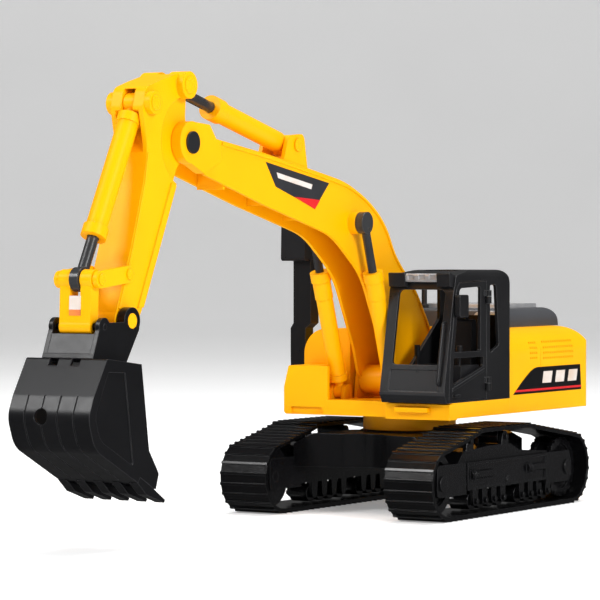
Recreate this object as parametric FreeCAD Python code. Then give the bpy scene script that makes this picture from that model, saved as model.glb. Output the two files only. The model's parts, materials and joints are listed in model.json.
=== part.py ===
import FreeCAD, Part
import math
import os

# Toy excavator, millimetres. The front of the machine faces -Y, its left (cab) side is +X, +Z is up.
# Everything is drawn about the slewing axis at ground level; on saving it is moved back by SLEW_Y,
# which puts the origin on the ground under the middle of the whole machine's length.

# ---------------------------------------------------------------- driving dimensions
SLEW_Y = 110.0               # the slewing axis lies this far behind the middle of the length

# tracks and undercarriage
TRACK_GAUGE = 109.0          # distance between the middles of the two belts
TRACK_WIDTH = 31.0
BELT_THICKNESS = 2.0
GROUSER_HEIGHT = 0.9
GROUSER_WIDTH = 1.5
SHOE_COUNT = 72
BELT_GAP = 0.9               # between a wheel's rim and the corners of the shoes over it
IDLER_Y = -78.0
IDLER_RADIUS = 17.4
SPROCKET_Y = 77.0
SPROCKET_RADIUS = 18.0
BELT_CREST = 50.4            # height of the upper run over the carrier rollers
CREST_RADIUS = 14.0
CREST_FRONT = -37.0
CREST_REAR = 20.0
WHEEL_WIDTH = 15.0
WHEEL_AXLE_RADIUS = 3.0
ROLLER_RADIUS = 4.9
ROLLER_WIDTH = 12.0
ROLLER_PITCH = 11.2
ROLLER_GROUPS = (-34.0, 23.4)     # place of the first roller in each group of four
ROLLERS_IN_GROUP = 4
CARRIER_RADIUS = 4.1
CARRIER_PLACES = ((-41.0, 43.3), (2.0, 43.8))
ROLLER_AXLE_RADIUS = 1.5
FRAME_BOTTOM = 15.5
FRAME_THICKNESS = 17.8
SIDE_PLATE_THICKNESS = 3.2
YOKE_THICKNESS = 2.6
CAR_BODY_BOTTOM = 26.0
CAR_BODY_TOP = 45.6
CAR_BODY_REACH = 58.0        # half length of the cross-shaped centre body

# slewing joint
POST_RADIUS = 10.0
RING_RADIUS = 27.5
RING_GAP = 0.5               # between the centre body and the rotating ring
RETAINER_RADIUS = 12.6
RETAINER_THICKNESS = 1.2

# upper body
DECK_WIDTH = 112.6
DECK_FRONT = -50.6
DECK_BOTTOM = 56.2
DECK_TOP = 65.2
BODY_REAR = 128.4
BODY_TOP = 106.0
SHELL = 2.0                  # wall of the moulded covers
SHOULDER_RADIUS = 15.0       # rounding along the top of the engine cover
REAR_ROUNDING = 22.0
WING_LEFT_FRONT = 20.5       # the cover starts here behind the cab
WING_RIGHT_FRONT = -27.5     # and here beside the boom
WING_RIGHT_INNER = -24.6
ENGINE_FRONT = 48.0
HOOD_TOP = 117.2

# cab
CAB_INNER = 14.2             # its wall towards the boom
CAB_REAR = 20.2
CAB_ROOF = 141.0
CAB_WALL = 2.0
CAB_FLOOR = DECK_TOP
DOOR_REAR = -9.0
DOOR_GAP = 0.4
HINGE_PLACE = (DECK_WIDTH / 2 + 0.8, -8.4)
HINGE_RADIUS = 1.0

# boom
BOOM_MIDDLE = -10.0          # the arm works in this plane, beside the cab
BOOM_WIDTH = 20.6
BOOM_WALL = 1.8
BOOM_FOOT = (-16.5, 76.5)
BOOM_HEAD = (-238.3, 209.1)
LIFT_PIN = (-66.7, 168.1)    # where the boom cylinders push
LIFT_BASE = (-33.2, 69.5)    # where they stand on the deck
LIFT_OFFSET = 17.8           # from the boom's middle to each cylinder
SHAFT_RADIUS = 4.0
HEAD_HALF_WIDTH = 13.4
NECK_HALF_WIDTH = 7.3
ARM_BASE = (-125.5, 211.0)   # arm cylinder's foot on the boom

# stick
STICK_WIDTH = 20.2
STICK_WALL = 1.8
ARM_PIN = (-241.3, 239.1)    # arm cylinder's rod
BUCKET_BASE = (-272.5, 228.6)    # bucket cylinder's head
LINK_PIVOT = (-296.0, 140.2)
LINK_PIN = (-320.5, 137.7)
BUCKET_PIVOT = (-297.0, 116.5)
PIN_RADIUS = 1.6
PIVOT_RADIUS = 3.9

# bucket
BUCKET_WIDTH = 49.8
BUCKET_WALL = 1.9
TOOTH_COUNT = 5
TOOTH_WIDTH = 5.4
COUPLER_WIDTH = 31.4

# fits
RUNNING = 0.05               # radial clearance of a pin that turns in its hole
SLIDING = 0.10               # radial clearance of a rod in its tube
CLEAR = 0.5                  # between parts that move past each other
LIFT_PLAY = 1.1              # open joint of each boom cylinder
ARM_PLAY = 1.8               # open joint of the arm cylinder
BUCKET_PLAY = 2.4            # open joint of the bucket cylinder
LINK_PLAY = 0.3              # open joint of the bucket linkage

HALF_DECK = DECK_WIDTH / 2
TRACK_MIDDLE = TRACK_GAUGE / 2
TRACK_INNER = TRACK_MIDDLE - TRACK_WIDTH / 2
TRACK_OUTER = TRACK_MIDDLE + TRACK_WIDTH / 2
BELT_LIFT = GROUSER_HEIGHT + BELT_THICKNESS + BELT_GAP
IDLER_PLACE = (IDLER_Y, IDLER_RADIUS + BELT_LIFT)
SPROCKET_PLACE = (SPROCKET_Y, SPROCKET_RADIUS + BELT_LIFT)
TOOTH_PITCH = (BUCKET_WIDTH - TOOTH_WIDTH) / (TOOTH_COUNT - 1)
PARTS = {}


# ---------------------------------------------------------------- shape helpers
def point(x, y, z):
    return FreeCAD.Vector(x, y, z)


def box(x0, x1, y0, y1, z0, z1):
    return Part.makeBox(x1 - x0, y1 - y0, z1 - z0, point(x0, y0, z0))


def bar_x(place, radius, x0, x1):
    """Round bar along X; place is (y, z)."""
    return Part.makeCylinder(radius, x1 - x0, point(x0, place[0], place[1]), point(1, 0, 0))


def bar_z(x, y, radius, z0, z1):
    return Part.makeCylinder(radius, z1 - z0, point(x, y, z0), point(0, 0, 1))


def rounded_edges(corners, to_space):
    """Closed outline of straight runs; a third number in a corner is its rounding radius."""
    count = len(corners)
    legs = []
    for i, corner in enumerate(corners):
        here = FreeCAD.Vector(corner[0], corner[1], 0)
        radius = corner[2] if len(corner) > 2 else 0.0
        before = corners[i - 1]
        after = corners[(i + 1) % count]
        back = (FreeCAD.Vector(before[0], before[1], 0) - here).normalize()
        on = (FreeCAD.Vector(after[0], after[1], 0) - here).normalize()
        if radius <= 0:
            legs.append((here, None, here))
            continue
        half = math.acos(max(-1.0, min(1.0, back.dot(on)))) / 2
        middle = (back + on).normalize()
        reach = radius / math.tan(half)
        crown = here + middle * (radius / math.sin(half) - radius)
        legs.append((here + back * reach, crown, here + on * reach))
    edges = []
    for i, (start, crown, end) in enumerate(legs):
        if crown is not None:
            edges.append(Part.Arc(to_space(start), to_space(crown), to_space(end)).toShape())
        following = legs[(i + 1) % count][0]
        if (following - end).Length > 1e-6:
            edges.append(Part.makeLine(to_space(end), to_space(following)))
    return edges


def plate(corners, to_space, along):
    wire = Part.Wire(Part.__sortEdges__(rounded_edges(corners, to_space)))
    return Part.Face(wire).extrude(along)


def plate_x(corners, x0, x1):
    """Plate whose outline is given as (y, z) corners."""
    return plate(corners, lambda p: point(x0, p.x, p.y), point(x1 - x0, 0, 0))


def plate_y(corners, y0, y1):
    """Plate whose outline is given as (x, z) corners."""
    return plate(corners, lambda p: point(p.x, y0, p.y), point(0, y1 - y0, 0))


def plate_z(corners, z0, z1):
    """Plate whose outline is given as (x, y) corners."""
    return plate(corners, lambda p: point(p.x, p.y, z0), point(0, 0, z1 - z0))


def inset(corners, walls):
    """Outline moved inwards by its wall thickness, one value for all runs or one for each."""
    count = len(corners)
    if not isinstance(walls, (list, tuple)):
        walls = [walls] * count
    area = sum(corners[i - 1][0] * corners[i][1] - corners[i][0] * corners[i - 1][1] for i in range(count))
    turn = 1.0 if area > 0 else -1.0
    lines = []
    for i in range(count):
        ax, ay = corners[i][:2]
        bx, by = corners[(i + 1) % count][:2]
        length = math.hypot(bx - ax, by - ay)
        nx, ny = -(by - ay) / length * turn, (bx - ax) / length * turn
        lines.append((ax + nx * walls[i], ay + ny * walls[i], (bx - ax) / length, (by - ay) / length))
    result = []
    for i in range(count):
        px, py, ux, uy = lines[i - 1]
        qx, qy, wx, wy = lines[i]
        cross = ux * wy - uy * wx
        step = ((qx - px) * wy - (qy - py) * wx) / cross
        radius = corners[i][2] if len(corners[i]) > 2 else 0.0
        convex = cross * turn > 0
        radius = max(radius - walls[i], 0.0) if convex else radius
        result.append((px + ux * step, py + uy * step, radius))
    return result


def lug_x(place, radius, foot_y0, foot_y1, foot_z, x0, x1):
    """Upright ear: a round eye at place standing on a foot at foot_z."""
    body = plate_x([(foot_y0, foot_z), (foot_y1, foot_z), (place[0] + radius, place[1]),
                    (place[0] - radius, place[1])], x0, x1)
    return body.fuse(bar_x(place, radius, x0, x1))


def fuse(*shapes):
    return shapes[0].multiFuse(list(shapes[1:])).removeSplitter()


def cut(body, *tools):
    for tool in tools:
        body = body.cut(tool)
    return body


def mirror_x(shape):
    return shape.mirror(point(0, 0, 0), point(1, 0, 0))


def both_sides(name, shape):
    """The same moulding on the machine's left (+X) and mirrored on its right."""
    PARTS[name + "_left"] = shape
    PARTS[name + "_right"] = mirror_x(shape)


def across(half_inner, half_outer):
    """The two X ranges, left and right of the boom's middle, between these half widths."""
    return ((BOOM_MIDDLE + half_inner, BOOM_MIDDLE + half_outer),
            (BOOM_MIDDLE - half_outer, BOOM_MIDDLE - half_inner))


def turned(corners_along, start, end, middle_x):
    """Body of revolution on the line from start to end, both (y, z), in the plane x = middle_x.
    corners_along is a list of (distance from start, radius)."""
    length = math.hypot(end[0] - start[0], end[1] - start[1])
    uy, uz = (end[0] - start[0]) / length, (end[1] - start[1]) / length
    base = point(middle_x, start[0], start[1])
    axis = point(0, uy, uz)
    side = point(1, 0, 0)
    outline = [base + axis * s + side * r for s, r in corners_along]
    outline = [base + axis * corners_along[0][0]] + outline + [base + axis * corners_along[-1][0]]
    outline.append(outline[0])
    return Part.Face(Part.makePolygon(outline)).revolve(base, axis, 360)


def distance(a, b):
    return math.hypot(b[0] - a[0], b[1] - a[1])


# ---------------------------------------------------------------- tracks
def belt_circles():
    """Centre and outer radius of the four curves that the smooth outside of the belt runs round."""
    crest = BELT_CREST - CREST_RADIUS
    grown = BELT_THICKNESS + BELT_GAP
    return [(IDLER_PLACE, IDLER_RADIUS + grown), (SPROCKET_PLACE, SPROCKET_RADIUS + grown),
            ((CREST_REAR, crest), CREST_RADIUS), ((CREST_FRONT, crest), CREST_RADIUS)]


def belt_runs():
    """Straight runs and arcs of the belt, anticlockwise seen from the left, as callables of length."""
    circles = belt_circles()
    joins = []
    for i, (a, ra) in enumerate(circles):
        b, rb = circles[(i + 1) % len(circles)]
        gap = distance(a, b)
        heading = math.atan2(b[1] - a[1], b[0] - a[0])
        outward = heading - math.pi / 2 + math.asin((rb - ra) / gap)
        joins.append(outward)
    runs = []
    for i, (a, ra) in enumerate(circles):
        arrive, leave = joins[i - 1], joins[i]
        while leave < arrive:
            leave += 2 * math.pi
        runs.append(("arc", a, ra, arrive, leave - arrive))
        b, rb = circles[(i + 1) % len(circles)]
        start = (a[0] + ra * math.cos(leave), a[1] + ra * math.sin(leave))
        end = (b[0] + rb * math.cos(leave), b[1] + rb * math.sin(leave))
        runs.append(("line", start, end, leave, distance(start, end)))
    return runs


def belt_point(travel, lift):
    """Point at this travel round the belt, lifted off its smooth outside by lift."""
    runs = belt_runs()
    total = sum(run[2] * run[4] if run[0] == "arc" else run[4] for run in runs)
    travel = travel % total
    for run in runs:
        length = run[2] * run[4] if run[0] == "arc" else run[4]
        if travel > length:
            travel -= length
            continue
        if run[0] == "arc":
            angle = run[3] + travel / run[2]
            reach = run[2] + lift
            return (run[1][0] + reach * math.cos(angle), run[1][1] + reach * math.sin(angle))
        share = travel / length
        y = run[1][0] + (run[2][0] - run[1][0]) * share + lift * math.cos(run[3])
        z = run[1][1] + (run[2][1] - run[1][1]) * share + lift * math.sin(run[3])
        return (y, z)


def track_belt():
    total = sum(run[2] * run[4] if run[0] == "arc" else run[4] for run in belt_runs())
    pitch = total / SHOE_COUNT
    outside = []
    inside = []
    for shoe in range(SHOE_COUNT):
        start = shoe * pitch
        stop = start + GROUSER_WIDTH
        outside.append(belt_point(start, 0.0))
        outside.append(belt_point(start, GROUSER_HEIGHT))
        outside.append(belt_point(stop, GROUSER_HEIGHT))
        outside.append(belt_point(stop, 0.0))
        inside.append(belt_point(start, -BELT_THICKNESS))
    return plate_x(outside, TRACK_INNER, TRACK_OUTER).cut(plate_x(inside, TRACK_INNER - 1, TRACK_OUTER + 1))


def roller_places():
    return [(first + i * ROLLER_PITCH, FRAME_BOTTOM - 7.0)
            for first in ROLLER_GROUPS for i in range(ROLLERS_IN_GROUP)]


FRAME_INNER = TRACK_MIDDLE - 9.5
FRAME_OUTER = FRAME_INNER + FRAME_THICKNESS
WHEEL_X = (TRACK_MIDDLE - WHEEL_WIDTH / 2, TRACK_MIDDLE + WHEEL_WIDTH / 2)
ROLLER_X = (TRACK_MIDDLE - 0.6 - ROLLER_WIDTH / 2, TRACK_MIDDLE - 0.6 + ROLLER_WIDTH / 2)
HANGERS = ((FRAME_INNER, FRAME_INNER + 2.4), (FRAME_OUTER - 2.4, FRAME_OUTER))


def track_frame():
    length_front, length_rear = -56.0, 56.0
    body = plate_x([(length_front, FRAME_BOTTOM), (length_front, 31.0), (-49.0, 37.5), (-20.0, 39.5),
                    (9.0, 39.5, 6), (20.0, 35.0, 6), (length_rear, 32.5), (length_rear, FRAME_BOTTOM)],
                   FRAME_INNER, FRAME_OUTER)
    shapes = [body]
    yokes = (((IDLER_PLACE[0] - 6.0, -50.0), (13.6, 31.7)), ((50.0, SPROCKET_PLACE[0] + 4.5), (13.4, 31.7)))
    for x0, x1 in ((FRAME_INNER, WHEEL_X[0]), (FRAME_OUTER, FRAME_OUTER + YOKE_THICKNESS)):
        for (y0, y1), (z0, z1) in yokes:
            shapes.append(plate_x([(y0, z0, 3), (y1, z0), (y1, z1), (y0, z1, 3)] if y0 < 0 else
                                  [(y0, z0), (y1, z0, 3), (y1, z1, 3), (y0, z1)], x0, x1))
    for place in roller_places():
        for x0, x1 in HANGERS:
            shapes.append(lug_x(place, 2.6, place[0] - 3.2, place[0] + 3.2, FRAME_BOTTOM + 0.5, x0, x1))
    for place in CARRIER_PLACES:
        for x0, x1 in HANGERS:
            shapes.append(lug_x(place, 3.4, place[0] - 5.0, place[0] + 5.0, 36.5, x0, x1))
    body = fuse(*shapes)
    body = body.cut(box(*WHEEL_X, IDLER_PLACE[0] - 20, IDLER_PLACE[0] + IDLER_RADIUS + CLEAR, 0, 60))
    body = body.cut(box(*WHEEL_X, SPROCKET_PLACE[0] - SPROCKET_RADIUS - CLEAR, 110, 0, 60))
    for place in (IDLER_PLACE, SPROCKET_PLACE):
        body = body.cut(bar_x(place, WHEEL_AXLE_RADIUS, FRAME_INNER - 5, FRAME_OUTER + 5))
    for place in roller_places() + list(CARRIER_PLACES):
        body = body.cut(bar_x(place, ROLLER_AXLE_RADIUS, FRAME_INNER - 5, FRAME_OUTER + 5))
    return body


def side_plate():
    low, high = 15.8, 31.5
    front, rear = -49.5, 49.5
    x0, x1 = FRAME_OUTER, FRAME_OUTER + SIDE_PLATE_THICKNESS
    body = box(x0, x1, front, rear, low, high)
    body = body.cut(box(x1 - 0.9, x1 + 1, front + 1.4, rear - 1.4, low + 1.4, high - 1.4))
    for y0, y1 in ((-45.0, -21.0), (25.0, 48.0)):
        boss = Part.makeCylinder(2.6, y1 - y0, point(x1 - 1.0, y0, 24.3), point(0, 1, 0))
        flange = Part.makeCylinder(3.3, 1.6, point(x1 - 1.0, y0 + 2.0, 24.3), point(0, 1, 0))
        body = body.fuse(boss).fuse(flange)
    body = body.fuse(bar_x((2.0, 18.4), 3.0, x0, x1))
    body = body.cut(box(x0 - 10, x0, front - 5, rear + 5, 0, 60))
    return body.removeSplitter()


def wheel(place, radius, teeth):
    """Belt wheel with a groove round its middle; the driving wheel has shallow teeth beside it."""
    x0, x1 = WHEEL_X
    body = bar_x(place, radius, x0 + 0.4, x1 - 0.4)
    body = body.cut(bar_x(place, radius + 1, TRACK_MIDDLE - 4, TRACK_MIDDLE + 4)
                    .cut(bar_x(place, radius - 2.4, TRACK_MIDDLE - 4, TRACK_MIDDLE + 4)))
    for i in range(teeth):
        angle = 2 * math.pi * i / teeth
        notch = (place[0] + radius * math.cos(angle), place[1] + radius * math.sin(angle))
        body = body.cut(bar_x(notch, 1.3, x0, x1))
    dish = bar_x(place, radius - 4.5, x1 - 2.4, x1 + 1).cut(bar_x(place, 6.0, x1 - 3, x1 + 2))
    body = body.cut(dish)
    return body.cut(bar_x(place, WHEEL_AXLE_RADIUS + RUNNING, x0 - 1, x1 + 1))


def rollers(places, radius, x0, x1, axle_end):
    shapes = []
    for place in places:
        body = bar_x(place, radius, x0, x1)
        body = body.fuse(bar_x(place, ROLLER_AXLE_RADIUS, FRAME_INNER, axle_end))
        shapes.append(body.removeSplitter())
    return Part.makeCompound(shapes)


def wheel_axles():
    shapes = []
    for sign in (1, -1):
        for place in (IDLER_PLACE, SPROCKET_PLACE):
            pin = bar_x(place, WHEEL_AXLE_RADIUS, FRAME_INNER, FRAME_OUTER + YOKE_THICKNESS)
            head = bar_x(place, WHEEL_AXLE_RADIUS + 1.4, FRAME_OUTER + YOKE_THICKNESS,
                         FRAME_OUTER + YOKE_THICKNESS + 1.0)
            pin = pin.fuse(head).removeSplitter()
            shapes.append(pin if sign > 0 else mirror_x(pin))
    return Part.makeCompound(shapes)


def car_body():
    """Cross-shaped centre body whose four legs reach the track frames, with the slewing post."""
    end, reach = FRAME_INNER, CAR_BODY_REACH
    quarter = [(end, -reach), (end, -24.0, 4), (27.0, -6.0, 9)]
    right = quarter + [(x, -y, r) for x, y, r in [(27.0, -6.0, 9), (end, -24.0, 4)]] + [(end, reach)]
    outline = right + [(14.0, reach - 7.0, 12), (0.0, reach - 17.0, 16), (-14.0, reach - 7.0, 12)]
    outline += [(-x, -y) + tuple(rest) for x, y, *rest in right]
    outline += [(-14.0, -reach + 7.0, 12), (0.0, -reach + 17.0, 16), (14.0, -reach + 7.0, 12)]
    body = plate_z(outline, CAR_BODY_BOTTOM, CAR_BODY_TOP)
    for sign in (1, -1):
        slope = plate_y([(sign * end, 39.4), (sign * (end + 2), 39.4), (sign * (end + 2), 50.0),
                         (sign * (TRACK_INNER - 7), 50.0), (sign * (TRACK_INNER - 5),
                                                            CAR_BODY_TOP)], -80, 80)
        body = body.cut(slope)
    hollow = bar_z(0, 0, 22.0, CAR_BODY_BOTTOM - 1, CAR_BODY_TOP - 4.0)
    hub = bar_z(0, 0, 7.0, CAR_BODY_BOTTOM + 1, CAR_BODY_TOP)
    body = body.cut(hollow).fuse(hub)
    table = bar_z(0, 0, RING_RADIUS + 1.5, CAR_BODY_TOP - 1, DECK_BOTTOM - 9.5 - RING_GAP)
    post = bar_z(0, 0, POST_RADIUS, CAR_BODY_TOP - 1, DECK_TOP + 0.3)
    body = body.fuse(table).fuse(post)
    body = body.cut(bar_z(0, 0, 1.7, DECK_TOP - 14.0, DECK_TOP + 1))
    for x, y in body_screw_places():
        body = body.cut(bar_z(x, y, 3.2, CAR_BODY_BOTTOM - 1, CAR_BODY_BOTTOM + 2.0))
        body = body.cut(bar_z(x, y, 1.2, CAR_BODY_BOTTOM - 1, CAR_BODY_BOTTOM + 10.0))
    return body.removeSplitter()


def body_screw_places():
    return [(sx * 36.0, sy * 42.0) for sx in (1, -1) for sy in (1, -1)]


def screw_up(x, y, z, head_radius, head_height, shank_radius, length):
    """Screw driven upwards: the head's underside is at z, its cross slot faces down."""
    body = bar_z(x, y, head_radius, z - head_height, z).fuse(bar_z(x, y, shank_radius, z, z + length))
    for turn in (0, 90):
        slot = box(-head_radius, head_radius, -0.4, 0.4, 0, 0.8)
        slot.rotate(point(0, 0, 0), point(0, 0, 1), turn)
        slot.translate(point(x, y, z - head_height))
        body = body.cut(slot)
    return body.removeSplitter()


def undercarriage():
    both_sides("track_belt", track_belt())
    both_sides("track_frame", track_frame())
    both_sides("side_plate", side_plate())
    both_sides("bottom_rollers", rollers(roller_places(), ROLLER_RADIUS, *ROLLER_X, FRAME_OUTER + 1.6))
    both_sides("carrier_rollers", rollers(CARRIER_PLACES, CARRIER_RADIUS, *ROLLER_X, FRAME_OUTER + 1.6))
    both_sides("idler_wheel", wheel(IDLER_PLACE, IDLER_RADIUS, 0))
    both_sides("drive_wheel", wheel(SPROCKET_PLACE, SPROCKET_RADIUS, 18))
    PARTS["wheel_axles"] = wheel_axles()
    PARTS["car_body"] = car_body()
    screws = [screw_up(x, y, CAR_BODY_BOTTOM + 2.0, 2.8, 1.8, 1.2, 8.0) for x, y in body_screw_places()]
    PARTS["car_body_screws"] = Part.makeCompound(screws)
    seat = DECK_TOP + 0.3
    washer = bar_z(0, 0, RETAINER_RADIUS, seat, seat + RETAINER_THICKNESS)
    PARTS["slew_washer"] = washer.cut(bar_z(0, 0, 1.7, seat - 1, seat + 5))
    screw = screw_up(0, 0, 0, 3.8, 2.2, 1.7, 13.0)
    screw.rotate(point(0, 0, 0), point(1, 0, 0), 180)
    screw.translate(point(0, 0, seat + RETAINER_THICKNESS))
    PARTS["slew_screw"] = screw


# ---------------------------------------------------------------- upper body
def deck_outline():
    side = HALF_DECK - SHELL
    box_edge = -HALF_DECK + SIDE_BOX_WIDTH
    return [(-HALF_DECK, DECK_FRONT + SIDE_BOX_FRONT), (box_edge, DECK_FRONT + SIDE_BOX_FRONT),
            (box_edge, DECK_FRONT),
            (HALF_DECK, DECK_FRONT, 2), (HALF_DECK, WING_LEFT_FRONT), (side, WING_LEFT_FRONT),
            (side, BODY_REAR - SHELL, 6), (-side, BODY_REAR - SHELL, 6), (-side, WING_RIGHT_FRONT),
            (-HALF_DECK, WING_RIGHT_FRONT)]


def deck():
    """Platform: a tray moulded open downwards, with the hub that turns on the post."""
    outline = deck_outline()
    body = plate_z(outline, DECK_BOTTOM, DECK_TOP)
    body = body.cut(plate_z(inset(outline, SHELL), DECK_BOTTOM - 1, DECK_TOP - 2.5))
    step = box(CAB_INNER, HALF_DECK, DECK_FRONT - 3.0, DECK_FRONT + 6, DECK_BOTTOM - 0.8, DECK_TOP - 0.8)
    tread = box(CAB_INNER + 7.6, HALF_DECK - 13.0, DECK_FRONT - 6.0, DECK_FRONT - 2.0, 59.6, 62.4)
    floor = bar_z(0, 0, RING_RADIUS + 3.0, DECK_BOTTOM, DECK_BOTTOM + 2.5)
    hub = bar_z(0, 0, POST_RADIUS + 4.0, DECK_BOTTOM, DECK_TOP)
    body = body.fuse(step).fuse(tread).fuse(floor).fuse(hub)
    for x0, x1 in across(BOOM_WIDTH / 2 + 0.4, BOOM_WIDTH / 2 + 2.6):
        ear = lug_x(BOOM_FOOT, 8.0, BOOM_FOOT[0] - 10, BOOM_FOOT[0] + 10, DECK_TOP - 1, x0, x1)
        relief = bar_z(0, 0, RETAINER_RADIUS + CLEAR, DECK_TOP, DECK_TOP + 0.3 + RETAINER_THICKNESS + CLEAR)
        body = body.fuse(ear.cut(relief))
    for middle in (LIFT_OFFSET, -LIFT_OFFSET):
        for side_sign in (1, -1):
            near = BOOM_MIDDLE + middle + side_sign * 2.9
            far = BOOM_MIDDLE + middle + side_sign * 5.3
            ear = lug_x(LIFT_BASE, 4.2, LIFT_BASE[0] - 5.5, LIFT_BASE[0] + 4.6, DECK_TOP - 1,
                        min(near, far), max(near, far))
            body = body.fuse(ear)
            body = body.cut(bar_x(LIFT_BASE, 1.8, min(near, far) - 0.1, max(near, far) + 0.1))
    body = body.cut(bar_x(BOOM_FOOT, SHAFT_RADIUS + RUNNING, -40, 12))
    body = body.cut(bar_z(0, 0, POST_RADIUS + RUNNING, DECK_BOTTOM - 1, DECK_TOP + 1))
    return body.removeSplitter()


SIDE_BOX_WIDTH = 29.9
SIDE_BOX_FRONT = 2.4         # thickness of its front panel
SIDE_BOX_TOP = 84.8


def side_box():
    """Step box on the right front corner, a thin front panel with a deeper block behind its outer part."""
    left = -HALF_DECK
    right = left + SIDE_BOX_WIDTH
    front = plate_y([(left, DECK_BOTTOM, 2), (left, 72.0, 8), (left + 3.2, SIDE_BOX_TOP, 1.2),
                     (right, SIDE_BOX_TOP, 1.2), (right,
                                                  DECK_BOTTOM)], DECK_FRONT, DECK_FRONT + SIDE_BOX_FRONT)
    rest = plate_y([(left, DECK_TOP), (left, 72.0, 8), (left + 3.2, SIDE_BOX_TOP, 1.2),
                    (right - 9.6, SIDE_BOX_TOP, 1.2), (right - 9.6, DECK_TOP)],
                   DECK_FRONT + SIDE_BOX_FRONT, WING_RIGHT_FRONT)
    body = front.fuse(rest)
    body = body.cut(plate_y([(left + 4.8, 56.9, 1), (left + 4.8, 60.6, 1), (right - 4.5, 60.6, 1),
                             (right - 2.0, 56.9, 1)], DECK_FRONT - 1, DECK_FRONT + 1.6))
    return body.removeSplitter()


def cover_block(grow, bottom):
    """Outside of the engine cover moved inwards by grow: main block plus the two forward wings."""
    side = HALF_DECK - grow
    top = BODY_TOP - grow
    rear = BODY_REAR - grow
    shoulder = SHOULDER_RADIUS - grow
    section = [(-side, bottom), (-side, top, shoulder), (side, top, shoulder), (side, bottom)]
    main = plate_y(section, ENGINE_FRONT + grow, rear)
    profile = [(ENGINE_FRONT + grow - 60, bottom), (ENGINE_FRONT + grow - 60, top),
               (rear, top, REAR_ROUNDING - grow),
               (rear, bottom)]
    main = main.common(plate_x(profile, -side - 1, side + 1))
    plan = [(-side, ENGINE_FRONT - 70), (side, ENGINE_FRONT - 70), (side, rear, 8 - grow),
            (-side, rear, 8 - grow)]
    main = main.common(plate_z(plan, bottom - 1, top + 1))
    left_wing = plate_y([(CAB_INNER + grow, bottom), (CAB_INNER + grow, top), (side, top, shoulder),
                         (side, bottom)],
                        WING_LEFT_FRONT + grow, ENGINE_FRONT + grow + 1)
    right_wing = plate_y([(-side, bottom), (-side, top, shoulder), (WING_RIGHT_INNER - grow, top),
                          (WING_RIGHT_INNER - grow,
                           bottom)], WING_RIGHT_FRONT + grow, ENGINE_FRONT + grow + 1)
    return fuse(main, left_wing, right_wing)


def vent_cuts():
    """Shallow louvre dashes on the left side of the engine cover and a joint line between them."""
    cuts = []
    depth = 0.7
    face = HALF_DECK
    for rows, first, last, count in (((97.0, 94.0, 91.0, 88.0), 46.3, 56.7, 4),
                                     ((97.2, 93.9, 90.7, 87.5), 63.3, 104.6, 14)):
        pitch = (last - first) / count
        for z in rows:
            for i in range(count):
                y = first + i * pitch
                cuts.append(box(face - depth - 3.0, face + 1, y, y + pitch * 0.62, z - 0.55, z + 0.55))
    return cuts


def engine_cover():
    outside = cover_block(0.0, DECK_BOTTOM)
    inside = cover_block(SHELL, DECK_BOTTOM - 1)
    louvres = Part.makeCompound(vent_cuts())
    keep = cover_block(0.7, DECK_BOTTOM)
    body = outside.cut(louvres.cut(keep)).cut(inside)
    body = body.cut(box(HALF_DECK - 0.5, HALF_DECK + 1, 60.2, 60.7, 66.0, 101.0))
    body = body.cut(plate_z(deck_outline(), DECK_BOTTOM - 2, DECK_TOP))
    body = body.cut(bar_x(BOOM_FOOT, SHAFT_RADIUS + CLEAR, -HALF_DECK - 1, WING_RIGHT_INNER + 1))
    return body


def engine_hood():
    """Dark hood on the engine cover, rounded over its long edges, open arch at its front left."""
    section = [(-40.0, BODY_TOP), (-40.0, HOOD_TOP, 8), (40.0, HOOD_TOP, 8), (40.0, BODY_TOP)]
    profile = [(50.0, BODY_TOP), (50.0, HOOD_TOP, 2), (113.5, HOOD_TOP, 8), (116.0, BODY_TOP)]
    body = plate_y(section, 50.0, 117.0).common(plate_x(profile, -41, 41))
    inner = [(-38.4, BODY_TOP - 1), (-38.4, HOOD_TOP - 1.6, 6), (38.4, HOOD_TOP - 1.6, 6),
             (38.4, BODY_TOP - 1)]
    body = body.cut(plate_y(inner, 51.6, 111.0))
    body = body.cut(plate_y([(18.0, BODY_TOP - 1), (18.0, HOOD_TOP - 3.0, 4), (35.0, HOOD_TOP - 3.0, 4),
                             (35.0, BODY_TOP - 1)], 48, 53))
    return body.removeSplitter()


def hood_grille():
    """Raised silver grille on the hood with crosswise slots."""
    body = plate_z([(-30.0, 60.0, 3), (31.0, 60.0, 3), (31.0, 106.0, 3), (-30.0, 106.0, 3)], HOOD_TOP,
                   HOOD_TOP + 2.6)
    for i in range(9):
        y = 63.5 + i * 4.6
        for x0, x1 in ((-26.0, -1.5), (2.5, 27.0)):
            body = body.cut(box(x0, x1, y, y + 2.2, HOOD_TOP + 1.2, HOOD_TOP + 4))
    return body


def hood_trim():
    """Silver frame round the air opening in the hood's front."""
    ring = plate_y([(16.4, BODY_TOP), (16.4, HOOD_TOP - 1.6, 5), (36.6, HOOD_TOP - 1.6, 5),
                    (36.6, BODY_TOP)], 48.6, 50.0)
    hole = plate_y([(18.6, BODY_TOP - 1), (18.6, HOOD_TOP - 3.6, 4), (34.4, HOOD_TOP - 3.6, 4),
                    (34.4, BODY_TOP - 1)], 48, 51)
    return ring.cut(hole)


def exhaust_pipe():
    x, y = -21.0, 55.5
    body = bar_z(x, y, 3.0, HOOD_TOP, HOOD_TOP + 2.2).fuse(bar_z(x, y, 1.7, HOOD_TOP + 2.2,
            HOOD_TOP + 11.0))
    return body.cut(bar_z(x, y, 1.0, HOOD_TOP + 4, HOOD_TOP + 12)).removeSplitter()


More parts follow.
